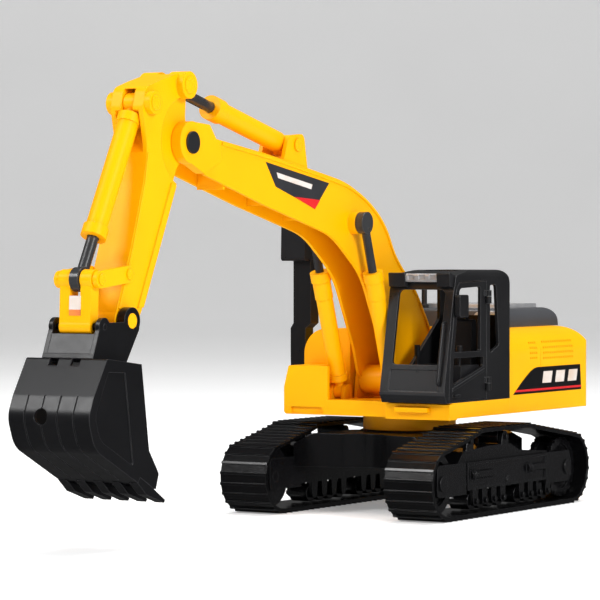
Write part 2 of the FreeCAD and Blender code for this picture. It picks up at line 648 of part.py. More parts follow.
# ---------------------------------------------------------------- cab
def cab_profile():
    return [(CAB_REAR, CAB_FLOOR), (CAB_REAR, CAB_ROOF, 9), (-24.0, CAB_ROOF, 60), (-45.5, 138.0, 4),
            (-48.6, 128.6, 6), (-56.8, 87.0, 30), (-60.4, 70.0, 2), (-57.5, CAB_FLOOR)]


def cab_solid(grow):
    corners = inset(cab_profile(), grow) if grow else cab_profile()
    body = plate_x(corners, CAB_INNER + grow, HALF_DECK - grow)
    section = [(CAB_INNER + grow, CAB_FLOOR - 1), (CAB_INNER + grow, CAB_ROOF - grow, 4 - grow),
               (HALF_DECK - grow, CAB_ROOF - grow, 5 - grow), (HALF_DECK - grow, CAB_FLOOR - 1)]
    return body.common(plate_y(section, -70, 30))


def door_outline(grow):
    """Outline of the door; grow widens it for the opening in the cab's side."""
    return [(DOOR_REAR + grow, 66.4 - grow), (DOOR_REAR + grow, 134.6 + grow, 1),
            (-42.6 - grow * 0.9, 133.6 + grow, 4),
            (-45.6 - grow, 128.6, 6), (-52.4 - grow, 92.0, 20), (-54.0 - grow, 66.4 - grow)]


def cab_shell():
    body = cab_solid(0.0).cut(cab_solid(CAB_WALL))
    floor = box(CAB_INNER, HALF_DECK, -57.0, CAB_REAR, CAB_FLOOR, CAB_FLOOR + 2)
    body = body.fuse(floor)
    front = plate_y([(20.4, 87.0, 2), (20.4, 129.8, 3), (51.0, 129.8, 3), (51.0, 87.0, 2)], -70, -40)
    rear = plate_y([(19.0, 114.0, 2), (19.0, 133.0, 3), (51.0, 133.0, 3), (51.0, 114.0, 2)], 10, 30)
    right = plate_x([(-47.5, 85.5, 2), (-41.0, 131.0, 3), (8.0, 131.0, 3), (8.0, 112.0, 2),
                     (-26.0, 85.5, 4)],
                    CAB_INNER - 1, CAB_INNER + 6)
    quarter = plate_x([(-4.6, 92.4, 1), (-4.6, 132.2, 1), (3.2, 132.2, 2), (6.8, 97.0, 2)],
                      HALF_DECK - 4, HALF_DECK + 1)
    hatch = box(24.0, 46.0, -32.0, -8.0, CAB_ROOF - 0.8, CAB_ROOF + 1)
    door_hole = plate_x(door_outline(DOOR_GAP), HALF_DECK - 4, HALF_DECK + 1)
    body = cut(body, front, rear, right, quarter, hatch, door_hole)
    panel = plate_y([(19.6, 71.8, 1), (19.6, 84.2, 1), (51.8, 84.2, 1), (51.8, 71.8, 1)], -70, -40)
    body = body.cut(panel.cut(cab_solid(0.7)))
    for z in HINGE_HEIGHTS:
        knuckle = bar_z(*HINGE_PLACE, HINGE_RADIUS + 1.0, z - 2.0, z + 2.0)
        strap = box(HALF_DECK - 1.2, HINGE_PLACE[0], HINGE_PLACE[1], HINGE_PLACE[1] + 3.4, z - 2.0, z + 2.0)
        body = body.fuse(knuckle.fuse(strap))
        body = body.cut(bar_z(*HINGE_PLACE, HINGE_RADIUS, z - 3, z + 3))
        body = body.cut(bar_z(*HINGE_PLACE, HINGE_RADIUS + 1.0 + DOOR_GAP, z + 2.0, z + 2.4 + KNUCKLE))
    return body.removeSplitter()


HINGE_HEIGHTS = (73.2, 123.6)
KNUCKLE = 3.4                # height of each door knuckle, above the cab's


def cab_door():
    slab = cab_solid(0.0).common(box(HALF_DECK - CAB_WALL, HALF_DECK + 1, -70, 30, 60, 150))
    body = slab.common(plate_x(door_outline(0.0), HALF_DECK - 4, HALF_DECK + 1))
    upper = plate_x([(-16.3, 94.2, 1), (-15.8, 131.4, 1.5), (-41.4, 130.6, 3), (-48.2, 94.2, 1)],
                    HALF_DECK - 4, HALF_DECK + 1)
    lower = plate_x([(-12.4, 85.4, 1), (-12.4, 90.8, 1), (-48.6, 90.8, 1), (-49.8, 75.2, 2)],
                    HALF_DECK - 4, HALF_DECK + 1)
    body = cut(body, upper, lower)
    ridge = plate_x([(-12.0, 84.0), (-12.0, 82.4), (-50.6, 71.8), (-50.6, 73.6)], HALF_DECK - 1,
                    HALF_DECK + 0.5)
    body = body.fuse(ridge)
    for y in (-50.0, -45.4):
        body = body.fuse(box(HALF_DECK - 1, HALF_DECK + 2.2, y, y + 1.0, 68.6, 70.0))
    body = body.fuse(box(HALF_DECK + 1.2, HALF_DECK + 2.2, -50.0, -44.4, 68.6, 70.0))
    for z in HINGE_HEIGHTS:
        knuckle = bar_z(*HINGE_PLACE, HINGE_RADIUS + 1.0, z + 2.2, z + 2.2 + KNUCKLE)
        strap = box(HALF_DECK - 1.2, HINGE_PLACE[0], DOOR_REAR - 3.0, HINGE_PLACE[1], z + 2.2,
                    z + 2.2 + KNUCKLE)
        body = body.cut(bar_z(*HINGE_PLACE, HINGE_RADIUS + 1.4, z - 2.4, z + 2.4))
        body = body.fuse(knuckle.fuse(strap))
        body = body.cut(bar_z(*HINGE_PLACE, HINGE_RADIUS + RUNNING, z - 3, z + 8))
    return body.removeSplitter()


def cab():
    PARTS["cab_shell"] = cab_shell()
    PARTS["cab_door"] = cab_door()
    pins = [bar_z(*HINGE_PLACE, HINGE_RADIUS, z - 2.0, z + 2.2 + KNUCKLE) for z in HINGE_HEIGHTS]
    PARTS["door_hinge_pins"] = Part.makeCompound(pins)
    mirror = plate_x([(-49.2, 114.2, 1.5), (-49.2, 127.0, 1.5), (-38.8, 127.0, 1.5), (-38.8, 114.2, 1.5)],
                     HALF_DECK + 1.4, HALF_DECK + 4.4)
    arm = box(HALF_DECK, HALF_DECK + 2.0, -45.6, -43.4, 117.0, 120.0)
    PARTS["side_mirror"] = mirror.fuse(arm.cut(box(0, HALF_DECK, -60, 0, 0, 150))).removeSplitter()
    lamps = []
    for x0, x1 in ((CAB_INNER + 1.0, CAB_INNER + 11.6), (HALF_DECK - 9.6, HALF_DECK - 1.0)):
        lamps.append(plate_x([(-45.6, 138.0), (-52.0, 140.0, 1), (-51.0, 131.4, 1), (-47.9, 131.4)], x0, x1)
                     .cut(cab_solid(0.0)))
    PARTS["roof_lamps"] = Part.makeCompound(lamps)
    bar = plate_x([(-46.0, 137.6), (-51.2, 140.2, 1.5), (-50.4, 134.2, 1), (-47.1, 134.2)],
                  CAB_INNER + 11.6, HALF_DECK - 9.6).cut(cab_solid(0.0))
    width = (HALF_DECK - 9.6 - CAB_INNER - 11.6) / 3
    for i in range(3):
        x = CAB_INNER + 11.6 + i * width
        bar = bar.cut(box(x + 1.6, x + width - 1.0, -53, -50.0, 135.8, 138.2))
    PARTS["light_bar"] = bar
    seat = fuse(box(28.0, 46.0, -26.0, -6.0, CAB_FLOOR + 2, 78.0),
                plate_x([(-28.0, 78.0), (-28.0, 84.0, 2.5), (-8.0, 84.0), (-8.0, 78.0)], 26.5, 47.5),
                plate_x([(-10.0, 80.0), (-8.6, 112.0, 2), (-3.0, 112.0, 2), (-3.0, 80.0)], 27.5, 46.5),
                plate_x([(-8.6, 112.5), (-8.6, 118.5, 2), (-4.0, 118.5, 2), (-4.0, 111.0)], 32.0, 42.0))
    PARTS["driver_seat"] = seat
    levers = []
    for x in (22.6, 50.4):
        console = box(x - 2.6, x + 2.6, -34.0, -12.0, CAB_FLOOR + 2, 86.0)
        stalk = bar_z(x, -31.0, 0.9, 86.0, 92.0).fuse(bar_z(x, -31.0, 1.7, 91.0, 97.5))
        levers.append(console.fuse(stalk).removeSplitter())
    PARTS["joysticks"] = Part.makeCompound(levers)


def upper():
    PARTS["deck"] = deck()
    ring = bar_z(0, 0, RING_RADIUS, DECK_BOTTOM - 9.5, DECK_BOTTOM)
    PARTS["slew_ring"] = ring.cut(bar_z(0, 0, POST_RADIUS + RUNNING, 40, 60))
    PARTS["side_box"] = side_box()
    PARTS["engine_cover"] = engine_cover()
    PARTS["engine_hood"] = engine_hood()
    PARTS["hood_grille"] = hood_grille()
    PARTS["hood_trim"] = hood_trim()
    PARTS["exhaust_pipe"] = exhaust_pipe()
    pins = []
    for middle in (LIFT_OFFSET, -LIFT_OFFSET):
        pins.append(bar_x(LIFT_BASE, 1.8, BOOM_MIDDLE + middle - 5.3, BOOM_MIDDLE + middle + 5.3))
    PARTS["boom_cylinder_pins"] = Part.makeCompound(pins)


# ---------------------------------------------------------------- boom
def boom_outline():
    return [(-214.0, 212.3), (-160.9, 205.4), (-123.9, 199.6), (-71.9, 191.1, 110), (-38.6, 176.0, 42),
            (-19.2, 150.8, 50),
            (6.9, 128.9, 30), (27.6, 100.3, 3), (4.4, 84.5, 4), (-16.5, 71.0, 3), (-28.0, 80.0,
                    4), (-33.0, 95.0, 8),
            (-56.4, 138.0, 50), (-89.1, 160.5, 60), (-160.9, 176.9, 100), (-222.0, 192.6)]


HEAD_PLATE = [(-239.5, 220.2, 2), (-221.3, 219.0, 2), (-210.2, 206.0, 2), (-210.2, 200.0, 2),
              (-226.1, 192.8, 2),
              (-246.0, 200.8)]


def boom():
    half = BOOM_WIDTH / 2
    x0, x1 = BOOM_MIDDLE - half, BOOM_MIDDLE + half
    outline = boom_outline()
    body = plate_x(outline, x0, x1)
    sides = [BOOM_WALL + 0.4] * 7 + [BOOM_WALL] * 2 + [-4.0] * 6 + [-4.0]
    sides[7] = BOOM_WALL
    sides[8] = BOOM_WALL
    cavity = plate_x(inset([corner[:2] for corner in outline], sides), x0 + BOOM_WALL, x1 - BOOM_WALL)
    body = body.cut(cavity)
    shapes = [body, bar_x(BOOM_FOOT, 8.5, x0, x1)]
    for lo, hi in across(NECK_HALF_WIDTH + 0.3, HEAD_HALF_WIDTH):
        shapes.append(plate_x(HEAD_PLATE, lo, hi))
        shapes.append(bar_x(BOOM_HEAD, 11.2, lo, hi))
    for lo, hi in across(half, LIFT_OFFSET - 2.8):
        shapes.append(bar_x(LIFT_PIN, 6.4, lo, hi))
    for lo, hi in across(half - BOOM_WALL - 1, LIFT_OFFSET + 0.8):
        shapes.append(bar_x(LIFT_PIN, 2.0, lo, hi))
    for lo, hi in across(6.5, 9.0):
        shapes.append(plate_x([(-140.5, 200.0), (-134.5, 216.2, 4), (-118.5, 217.6, 4),
                               (-114.5, 197.0)], lo, hi))
    for y, z, tilt in ((-200.0, 194.0, 12), (-150.0, 186.0, 12), (-112.0, 178.0, 14)):
        shapes.append(plate_x([(y - 0.8, z - 9), (y + 0.8, z - 9), (y + 0.8, z + 14), (y - 0.8, z + 14)],
                              x0 + BOOM_WALL, x1 - BOOM_WALL))
    whole = fuse(*shapes)
    swing = bar_x(BOOM_HEAD, 12.5, BOOM_MIDDLE - NECK_HALF_WIDTH - 0.3, BOOM_MIDDLE + NECK_HALF_WIDTH + 0.3)
    whole = whole.cut(swing)
    whole = whole.cut(bar_x(BOOM_HEAD, PIVOT_RADIUS, x0 - 5, x1 + 5))
    whole = whole.cut(bar_x(BOOM_FOOT, SHAFT_RADIUS, x0 - 5, x1 + 5))
    whole = whole.cut(bar_x(ARM_BASE, 1.8, x0 - 5, x1 + 5))
    return whole.removeSplitter()


LEVER_X = (-HALF_DECK - 11.2, -HALF_DECK - 0.9)
LEVER_POST_X = (-HALF_DECK - 9.2, -HALF_DECK + 2.9)    # it steps in over the cover's shoulder
LEVER_GRIP_BOTTOM = 146.0


def hand_lever():
    """Lever on the end of the boom's foot shaft: a hub, a post that steps in above the cover, a grip."""
    hub = bar_x(BOOM_FOOT, 8.0, *LEVER_X)
    low = plate_x([(BOOM_FOOT[0] - 8.0, BOOM_FOOT[1]), (-25.0, 90.0), (-25.0, 106.0), (-16.0, 106.0),
                   (-16.0, 92.0),
                   (BOOM_FOOT[0] + 8.0, BOOM_FOOT[1])], *LEVER_X)
    jog = plate_y([(LEVER_X[0], 105.9), (LEVER_X[1], 105.9), (LEVER_POST_X[1], 109.0),
                   (LEVER_POST_X[1], 147.0),
                   (LEVER_POST_X[0], 147.0), (LEVER_POST_X[0], 109.0)], -25.0, -16.0)
    return fuse(hub, low, jog).cut(bar_x(BOOM_FOOT, SHAFT_RADIUS, -80, -50)).removeSplitter()


def lever_grip():
    body = plate_x([(-30.0, LEVER_GRIP_BOTTOM, 2), (-29.0, 184.0, 4), (-13.0, 184.0, 4),
                    (-12.0, LEVER_GRIP_BOTTOM, 2)],
                   -HALF_DECK - 15.0, -HALF_DECK + 1.8)
    return body.cut(box(*LEVER_POST_X, -25.0, -16.0, 140.0, 147.0))


def boom_group():
    PARTS["boom"] = boom()
    PARTS["boom_foot_shaft"] = bar_x(BOOM_FOOT, SHAFT_RADIUS, LEVER_X[0],
                                     BOOM_MIDDLE + BOOM_WIDTH / 2 + 2.6)
    PARTS["hand_lever"] = hand_lever()
    PARTS["lever_grip"] = lever_grip()
    head_pin = bar_x(BOOM_HEAD, PIVOT_RADIUS, BOOM_MIDDLE - HEAD_HALF_WIDTH, BOOM_MIDDLE + HEAD_HALF_WIDTH)
    for lo, hi in across(HEAD_HALF_WIDTH, HEAD_HALF_WIDTH + 1.2):
        head_pin = head_pin.fuse(bar_x(BOOM_HEAD, 5.9, lo, hi))
    PARTS["boom_head_pin"] = head_pin.removeSplitter()
    PARTS["arm_cylinder_pin"] = bar_x(ARM_BASE, 1.8, BOOM_MIDDLE - 9.6, BOOM_MIDDLE + 9.6)


# ---------------------------------------------------------------- cylinders
BORE_START = 13.0            # distance from a cylinder's eye to the bottom of its bore


def cylinder_tube(start, end, middle_x, mouth, sections, eye_radius, eye_half, pin_radius, bore):
    """Tube with its eye at start and its mouth at this distance towards end."""
    tube = turned(sections, start, end, middle_x)
    body = tube.fuse(bar_x(start, eye_radius, middle_x - eye_half, middle_x + eye_half))
    body = body.cut(turned([(BORE_START, bore), (mouth + 1.0, bore)], start, end, middle_x))
    body = body.cut(bar_x(start, pin_radius, middle_x - 20, middle_x + 20))
    return body.removeSplitter()


def boom_cylinders():
    mouth = 74.3
    sections = [(1.0, 2.4), (7.2, 2.4), (7.2, 5.9), (11.0, 5.9), (11.0, 4.9), (58.0, 4.9), (58.0, 5.3),
                (68.5, 5.3),
                (68.5, 5.9), (mouth, 5.9)]
    reach = distance(LIFT_BASE, LIFT_PIN)
    for name, sign in (("left", 1), ("right", -1)):
        x = BOOM_MIDDLE + sign * LIFT_OFFSET
        tube = cylinder_tube(LIFT_BASE, LIFT_PIN, x, mouth, sections, 4.2, 2.6, 1.8 + RUNNING,
                             2.5 + SLIDING)
        PARTS["boom_cylinder_" + name] = tube
        rod = turned([(24.0, 2.5), (reach - 3.0, 2.5)], LIFT_BASE, LIFT_PIN, x)
        rod = rod.fuse(bar_x(LIFT_PIN, 6.3, x - 2.3, x + 2.3))
        inner = x - 2.3 if sign > 0 else x - 1.2
        outer = x + 1.2 if sign > 0 else x + 2.3
        rod = rod.cut(bar_x(LIFT_PIN, 2.0 + LIFT_PLAY, min(inner, outer) - 0.01, max(inner, outer)))
        PARTS["boom_rod_" + name] = rod.removeSplitter()


def arm_cylinder():
    reach = distance(ARM_BASE, ARM_PIN)
    mouth = reach - 41.5
    sections = [(3.0, 3.4), (8.0, 5.8), (mouth - 9.0, 5.8), (mouth - 9.0, 6.8), (mouth, 6.8)]
    PARTS["arm_cylinder"] = cylinder_tube(ARM_BASE, ARM_PIN, BOOM_MIDDLE, mouth, sections, 5.8, 4.6,
                                          1.8 + ARM_PLAY,
                                          3.0 + SLIDING)
    rod = turned([(26.0, 3.0), (reach - 3.0, 3.0)], ARM_BASE, ARM_PIN, BOOM_MIDDLE)
    rod = rod.fuse(bar_x(ARM_PIN, 5.6, BOOM_MIDDLE - 3.4, BOOM_MIDDLE + 3.4))
    PARTS["arm_rod"] = rod.cut(bar_x(ARM_PIN, 2.0 + RUNNING, -30, 30)).removeSplitter()


def bucket_cylinder():
    reach = distance(BUCKET_BASE, LINK_PIN)
    mouth = reach - 24.0
    sections = [(2.0, 3.0), (7.5, 3.0), (7.5, 6.4), (12.5, 6.4), (12.5, 5.6), (mouth - 6.0, 5.6),
                (mouth - 6.0, 6.7),
                (mouth, 6.7)]
    PARTS["bucket_cylinder"] = cylinder_tube(BUCKET_BASE, LINK_PIN, BOOM_MIDDLE, mouth, sections, 5.4, 3.2,
                                             2.0 + RUNNING, 3.1 + SLIDING)
    rod = turned([(30.0, 3.1), (reach - 5.0, 3.1)], BUCKET_BASE, LINK_PIN, BOOM_MIDDLE)
    rod = rod.fuse(bar_x(LINK_PIN, 6.3, BOOM_MIDDLE - 2.6, BOOM_MIDDLE + 2.6))
    PARTS["bucket_rod"] = rod.cut(bar_x(LINK_PIN, PIN_RADIUS + BUCKET_PLAY, -30, 30)).removeSplitter()


# ---------------------------------------------------------------- stick
def stick_outline():
    return [(-235.0, 238.0), (-236.0, 221.0, 8), (-228.5, 207.0, 8), (-243.6, 196.0, 8),
            (-264.8, 153.9), (-280.6, 121.4, 4),
            (-288.5, 109.2, 5), (-303.0, 108.6, 6), (-303.2, 121.0, 6), (-290.1, 153.9, 60), (-278.6,
                    187.9, 40),
            (-274.6, 204.0, 30), (-279.5, 226.0, 5), (-276.5, 236.5, 6), (-264.0, 240.4, 6), (-246.0,
                    245.2, 5)]


def stick():
    half = STICK_WIDTH / 2
    x0, x1 = BOOM_MIDDLE - half, BOOM_MIDDLE + half
    outline = stick_outline()
    body = plate_x(outline, x0, x1)
    for lo, hi in across(NECK_HALF_WIDTH, half + 2):
        body = body.cut(bar_x(BOOM_HEAD, 24.0, lo, hi))
    cavity = plate_x([(-244.0, 186.5), (-262.0, 186.0, 3), (-272.0, 186.0, 4), (-284.2, 156.0),
                      (-291.5, 134.0, 4),
                      (-284.0, 127.0, 2), (-268.0, 127.0)], x0 + STICK_WALL, x1 - STICK_WALL)
    body = body.cut(cavity)
    shapes = [body, bar_x(BUCKET_PIVOT, 7.6, x0, x1), bar_x(BOOM_HEAD, 9.5, BOOM_MIDDLE - NECK_HALF_WIDTH,
                                                          BOOM_MIDDLE + NECK_HALF_WIDTH)]
    for lo, hi in across(2.0, 14.0):
        shapes.append(bar_x(ARM_PIN, 7.2, lo, hi))
    for lo, hi in across(2.0, 13.7):
        shapes.append(bar_x(BUCKET_BASE, 6.0, lo, hi))
    for lo, hi in across(half, half + 0.9):
        shapes.append(plate_x([(-249.4, 186.0), (-264.8, 153.9), (-279.8, 123.0), (-284.6, 123.0),
                               (-269.0, 155.6),
                               (-253.6, 187.6)], lo, hi))
    whole = fuse(*shapes)
    slot = bar_x(ARM_PIN, 7.4, BOOM_MIDDLE - 3.7, BOOM_MIDDLE + 3.7)
    slot = slot.fuse(box(BOOM_MIDDLE - 3.7, BOOM_MIDDLE + 3.7, ARM_PIN[0], -220, ARM_PIN[1] - 8.5, 260))
    whole = whole.cut(slot)
    slot = bar_x(BUCKET_BASE, 7.8, BOOM_MIDDLE - 3.7, BOOM_MIDDLE + 3.7)
    fork = plate_x([(-272.5, 235.6), (-290.0, 238.0), (-290.0, 215.0), (-275.0, 221.0)],
                   BOOM_MIDDLE - 3.7, BOOM_MIDDLE + 3.7)
    room = plate_x([(-267.4, 218.6), (-286.1, 228.5), (-300.0, 228.5), (-300.0, 180.0), (-287.5, 180.0)],
                   BOOM_MIDDLE - 7.3, BOOM_MIDDLE + 7.3)
    whole = whole.cut(slot).cut(fork).cut(room)
    whole = whole.cut(bar_x(ARM_PIN, 2.0, x0 - 1.5, x1 + 1.5))
    whole = whole.cut(bar_x(BUCKET_BASE, 2.0, x0 - 1.5, x1 + 1.5))
    whole = whole.cut(bar_x(BOOM_HEAD, PIVOT_RADIUS + RUNNING, x0 - 5, x1 + 5))
    whole = whole.cut(bar_x(LINK_PIVOT, PIN_RADIUS, x0 - 5, x1 + 5))
    whole = whole.cut(bar_x(BUCKET_PIVOT, PIVOT_RADIUS, x0 - 5, x1 + 5))
    return whole.removeSplitter()


def link_plate(corner_a, corner_b, radius, x0, x1):
    """Flat link with a round eye at each end."""
    length = distance(corner_a, corner_b)
    ny, nz = -(corner_b[1] - corner_a[1]) / length * radius, (corner_b[0] - corner_a[0]) / length * radius
    web = plate_x([(corner_a[0] + ny, corner_a[1] + nz), (corner_b[0] + ny, corner_b[1] + nz),
                   (corner_b[0] - ny, corner_b[1] - nz), (corner_a[0] - ny, corner_a[1] - nz)], x0, x1)
    return fuse(web, bar_x(corner_a, radius, x0, x1), bar_x(corner_b, radius, x0, x1))


LINK_HALF = STICK_WIDTH / 2 + 0.4
LINK_THICKNESS = 2.8
# the bucket's own pin lies so that link, H-link, bucket and stick form a parallelogram
COUPLER_PIN = (BUCKET_PIVOT[0] + LINK_PIN[0] - LINK_PIVOT[0], BUCKET_PIVOT[1] + LINK_PIN[1] - LINK_PIVOT[1])


def stick_group():
    PARTS["stick"] = stick()
    PARTS["bucket_pivot_pin"] = bar_x(BUCKET_PIVOT, PIVOT_RADIUS, BOOM_MIDDLE - COUPLER_WIDTH / 2 - 0.2,
                                      BOOM_MIDDLE + COUPLER_WIDTH / 2 + 0.2)
    PARTS["stick_pins"] = Part.makeCompound([
        bar_x(ARM_PIN, 2.0, BOOM_MIDDLE - 11.0, BOOM_MIDDLE + 11.0),
        bar_x(BUCKET_BASE, 2.0, BOOM_MIDDLE - 11.0, BOOM_MIDDLE + 11.0),
        bar_x(LINK_PIVOT, PIN_RADIUS, BOOM_MIDDLE - LINK_HALF - LINK_THICKNESS,
              BOOM_MIDDLE + LINK_HALF + LINK_THICKNESS)])
    links = []
    for lo, hi in across(LINK_HALF, LINK_HALF + LINK_THICKNESS):
        link = link_plate(LINK_PIVOT, LINK_PIN, 4.4, lo, hi)
        link = link.cut(bar_x(LINK_PIVOT, PIN_RADIUS + RUNNING, lo - 1, hi + 1))
        links.append(link.cut(bar_x(LINK_PIN, PIN_RADIUS, lo - 1, hi + 1)))
    PARTS["side_links"] = Part.makeCompound(links)
    PARTS["link_pin"] = bar_x(LINK_PIN, PIN_RADIUS, BOOM_MIDDLE - LINK_HALF - LINK_THICKNESS - 0.3,
                              BOOM_MIDDLE + LINK_HALF + LINK_THICKNESS + 0.3)
    x0, x1 = BOOM_MIDDLE - LINK_HALF + 0.4, BOOM_MIDDLE + LINK_HALF - 0.4
    barrel = bar_x(LINK_PIN, 5.2, x0, x1).cut(bar_x(LINK_PIN, 5.4, BOOM_MIDDLE - 3.2, BOOM_MIDDLE + 3.2))
    web = plate_x([(LINK_PIN[0] - 4.2, LINK_PIN[1] - 2.0), (LINK_PIN[0] + 3.0, LINK_PIN[1] - 2.0),
                   (COUPLER_PIN[0] + 3.0, COUPLER_PIN[1]), (COUPLER_PIN[0] - 4.0,
                                                            COUPLER_PIN[1])], x0 + 0.6, x1 - 0.6)
    web = web.cut(bar_x(LINK_PIN, 6.3 + BUCKET_PLAY + CLEAR, BOOM_MIDDLE - 3.2, BOOM_MIDDLE + 3.2))
    foot = bar_x(COUPLER_PIN, 4.4, x0 + 0.6, x1 - 0.6)
    body = fuse(barrel, web, foot)
    body = body.cut(bar_x(LINK_PIN, PIN_RADIUS + RUNNING, x0 - 5, x1 + 5))
    PARTS["h_link"] = body.cut(bar_x(COUPLER_PIN, PIN_RADIUS + LINK_PLAY, x0 - 5, x1 + 5)).removeSplitter()


# ---------------------------------------------------------------- bucket
BUCKET_TOP_FRONT = (-332.2, 98.4)
BUCKET_TOP_REAR = (-302.0, 94.8)


def bucket_back():
    """Curved sheet of the bucket from its top rear edge round the back to the lip."""
    return [BUCKET_TOP_REAR, BUCKET_TOP_FRONT + (1.5,), (-343.9, 79.6, 10), (-348.6, 69.0, 12),
            (-343.0, 53.6, 14),
            (-313.0, 38.6, 30), (-298.0, 31.2)]


def bucket_shell():
    half = BUCKET_WIDTH / 2
    x0, x1 = BOOM_MIDDLE - half, BOOM_MIDDLE + half
    sheet = bucket_back()
    mouth = [(-289.4, 30.6, 1), (-286.6, 38.5, 2), (-295.4, 50.7, 3)]
    side_outline = sheet[:-1] + [(-304.0, 34.2)] + mouth
    body = plate_x(side_outline, x0, x1)
    inner = inset(side_outline, [BUCKET_WALL] * 7 + [-6.0] * 3)
    body = body.cut(plate_x(inner, x0 + BUCKET_WALL, x1 - BUCKET_WALL))
    for lo, hi in ((x0 - 1, x0 + 0.6), (x1 - 0.6, x1 + 1)):
        panel = plate_x([(-316.5, 91.0, 1), (-331.0, 91.8, 2), (-342.5, 70.0, 8), (-338.5, 58.0, 10),
                         (-309.5, 43.5, 1)], lo, hi)
        body = body.cut(panel)
    for i in range(-2, 2):
        x = BOOM_MIDDLE + (i + 0.5) * 10.0
        groove = box(x - 0.35, x + 0.35, -360, -290, 30, 80)
        skin = plate_x(side_outline, x0, x1).cut(plate_x(inset(side_outline, 0.7), x0, x1))
        body = body.cut(groove.common(skin).common(box(-60, 40, -360, -308, 30, 80)))
    body = body.cut(Part.makeCylinder(4.1, 12.0, point(BOOM_MIDDLE - 5.0, -352.0, 69.5), point(0, 1, 0)))
    for x in (-20.0, -6.5):
        body = body.cut(box(x, x + 5.6, -334.5, -329.0, 94.0, 99.0))
    return body.removeSplitter()


def bucket_teeth():
    shapes = []
    for i in range(TOOTH_COUNT):
        x = BOOM_MIDDLE + (i - (TOOTH_COUNT - 1) / 2) * TOOTH_PITCH
        side = plate_x([(-303.5, 37.6), (-305.5, 34.6), (-302.0, 31.8), (-298.0, 28.4), (-281.8, 23.2),
                        (-281.0, 24.6),
                        (-294.0, 32.6)], x - TOOTH_WIDTH / 2, x + TOOTH_WIDTH / 2)
        shapes.append(side)
    return shapes


def bucket_top(y, lift=0.0):
    """Point on the bucket's flat top at this y, raised by lift."""
    share = (y - BUCKET_TOP_FRONT[0]) / (BUCKET_TOP_REAR[0] - BUCKET_TOP_FRONT[0])
    return (y, BUCKET_TOP_FRONT[1] + (BUCKET_TOP_REAR[1] - BUCKET_TOP_FRONT[1]) * share + lift)


def coupler():
    half = COUPLER_WIDTH / 2
    wall = 2.5
    shapes = []
    outline = [bucket_top(-331.8), bucket_top(-302.6), (-290.4, 112.6, 3), (-292.0, 117.5, 1),
               (-297.0, 116.0), (-318.0, 116.0),
               (-325.9, 112.8, 2)]
    for lo, hi in across(half - wall, half):
        ear = fuse(plate_x(outline, lo, hi), bar_x(COUPLER_PIN, 4.6, lo, hi),
                   bar_x(BUCKET_PIVOT, 7.0, lo, hi))
        shapes.append(ear)
    for lo, hi in across(STICK_WIDTH / 2 + 0.9, half):
        shapes.append(bar_x(BUCKET_PIVOT, 7.0, lo, hi))
    front = plate_x([bucket_top(-331.8), bucket_top(-329.0), (-323.6, 109.6), (-326.4, 110.6)],
                    BOOM_MIDDLE - half, BOOM_MIDDLE + half)
    floor = plate_x([bucket_top(-331.8), bucket_top(-302.6), bucket_top(-302.0, 2.4),
                     bucket_top(-331.0, 2.4)],
                    BOOM_MIDDLE - half, BOOM_MIDDLE + half)
    body = fuse(*shapes, front, floor)
    body = body.cut(bar_x(BUCKET_PIVOT, PIVOT_RADIUS + RUNNING, -60, 40))
    return body.cut(bar_x(COUPLER_PIN, PIN_RADIUS, -60, 40)).removeSplitter()


def bucket_group():
    shell = bucket_shell()
    teeth = bucket_teeth()
    PARTS["bucket_shell"] = cut(shell, *teeth)
    PARTS["bucket_teeth"] = Part.makeCompound(teeth)
    PARTS["bucket_coupler"] = coupler()
    PARTS["coupler_pin"] = bar_x(COUPLER_PIN, PIN_RADIUS, BOOM_MIDDLE - COUPLER_WIDTH / 2 - 0.4,
                                 BOOM_MIDDLE + COUPLER_WIDTH / 2 + 0.4)


undercarriage()
upper()
cab()
boom_group()
boom_cylinders()
arm_cylinder()
stick_group()
bucket_cylinder()
bucket_group()

os.makedirs("parts", exist_ok=True)
for name, shape in PARTS.items():
    shape.translate(point(0, SLEW_Y, 0))
    shape.exportStep("parts/" + name + ".step")
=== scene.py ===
import json
import math

import bmesh
import bpy
import numpy as np
from mathutils import Matrix, Vector


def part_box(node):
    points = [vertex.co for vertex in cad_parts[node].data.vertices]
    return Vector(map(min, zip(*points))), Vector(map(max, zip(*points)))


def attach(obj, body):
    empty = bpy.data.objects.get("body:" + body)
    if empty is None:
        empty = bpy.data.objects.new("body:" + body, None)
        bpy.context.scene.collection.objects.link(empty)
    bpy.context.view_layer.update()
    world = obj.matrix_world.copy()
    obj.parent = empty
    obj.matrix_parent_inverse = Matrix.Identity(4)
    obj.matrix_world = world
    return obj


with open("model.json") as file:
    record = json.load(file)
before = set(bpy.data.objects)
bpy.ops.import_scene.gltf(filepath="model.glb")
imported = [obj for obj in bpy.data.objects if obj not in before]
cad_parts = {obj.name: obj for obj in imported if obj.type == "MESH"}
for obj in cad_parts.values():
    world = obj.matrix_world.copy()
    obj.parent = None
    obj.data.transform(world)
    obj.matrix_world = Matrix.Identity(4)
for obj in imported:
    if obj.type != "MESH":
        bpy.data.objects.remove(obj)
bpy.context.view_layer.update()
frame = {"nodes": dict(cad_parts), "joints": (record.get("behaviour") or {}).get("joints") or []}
nodes = frame["nodes"]

# ---------------------------------------------------------------------------
# Centre body, track frames and their side plates: glossy black moulded plastic.
# The frames are screwed under the centre body from below, and the side plates
# are pressed on to them from outside.


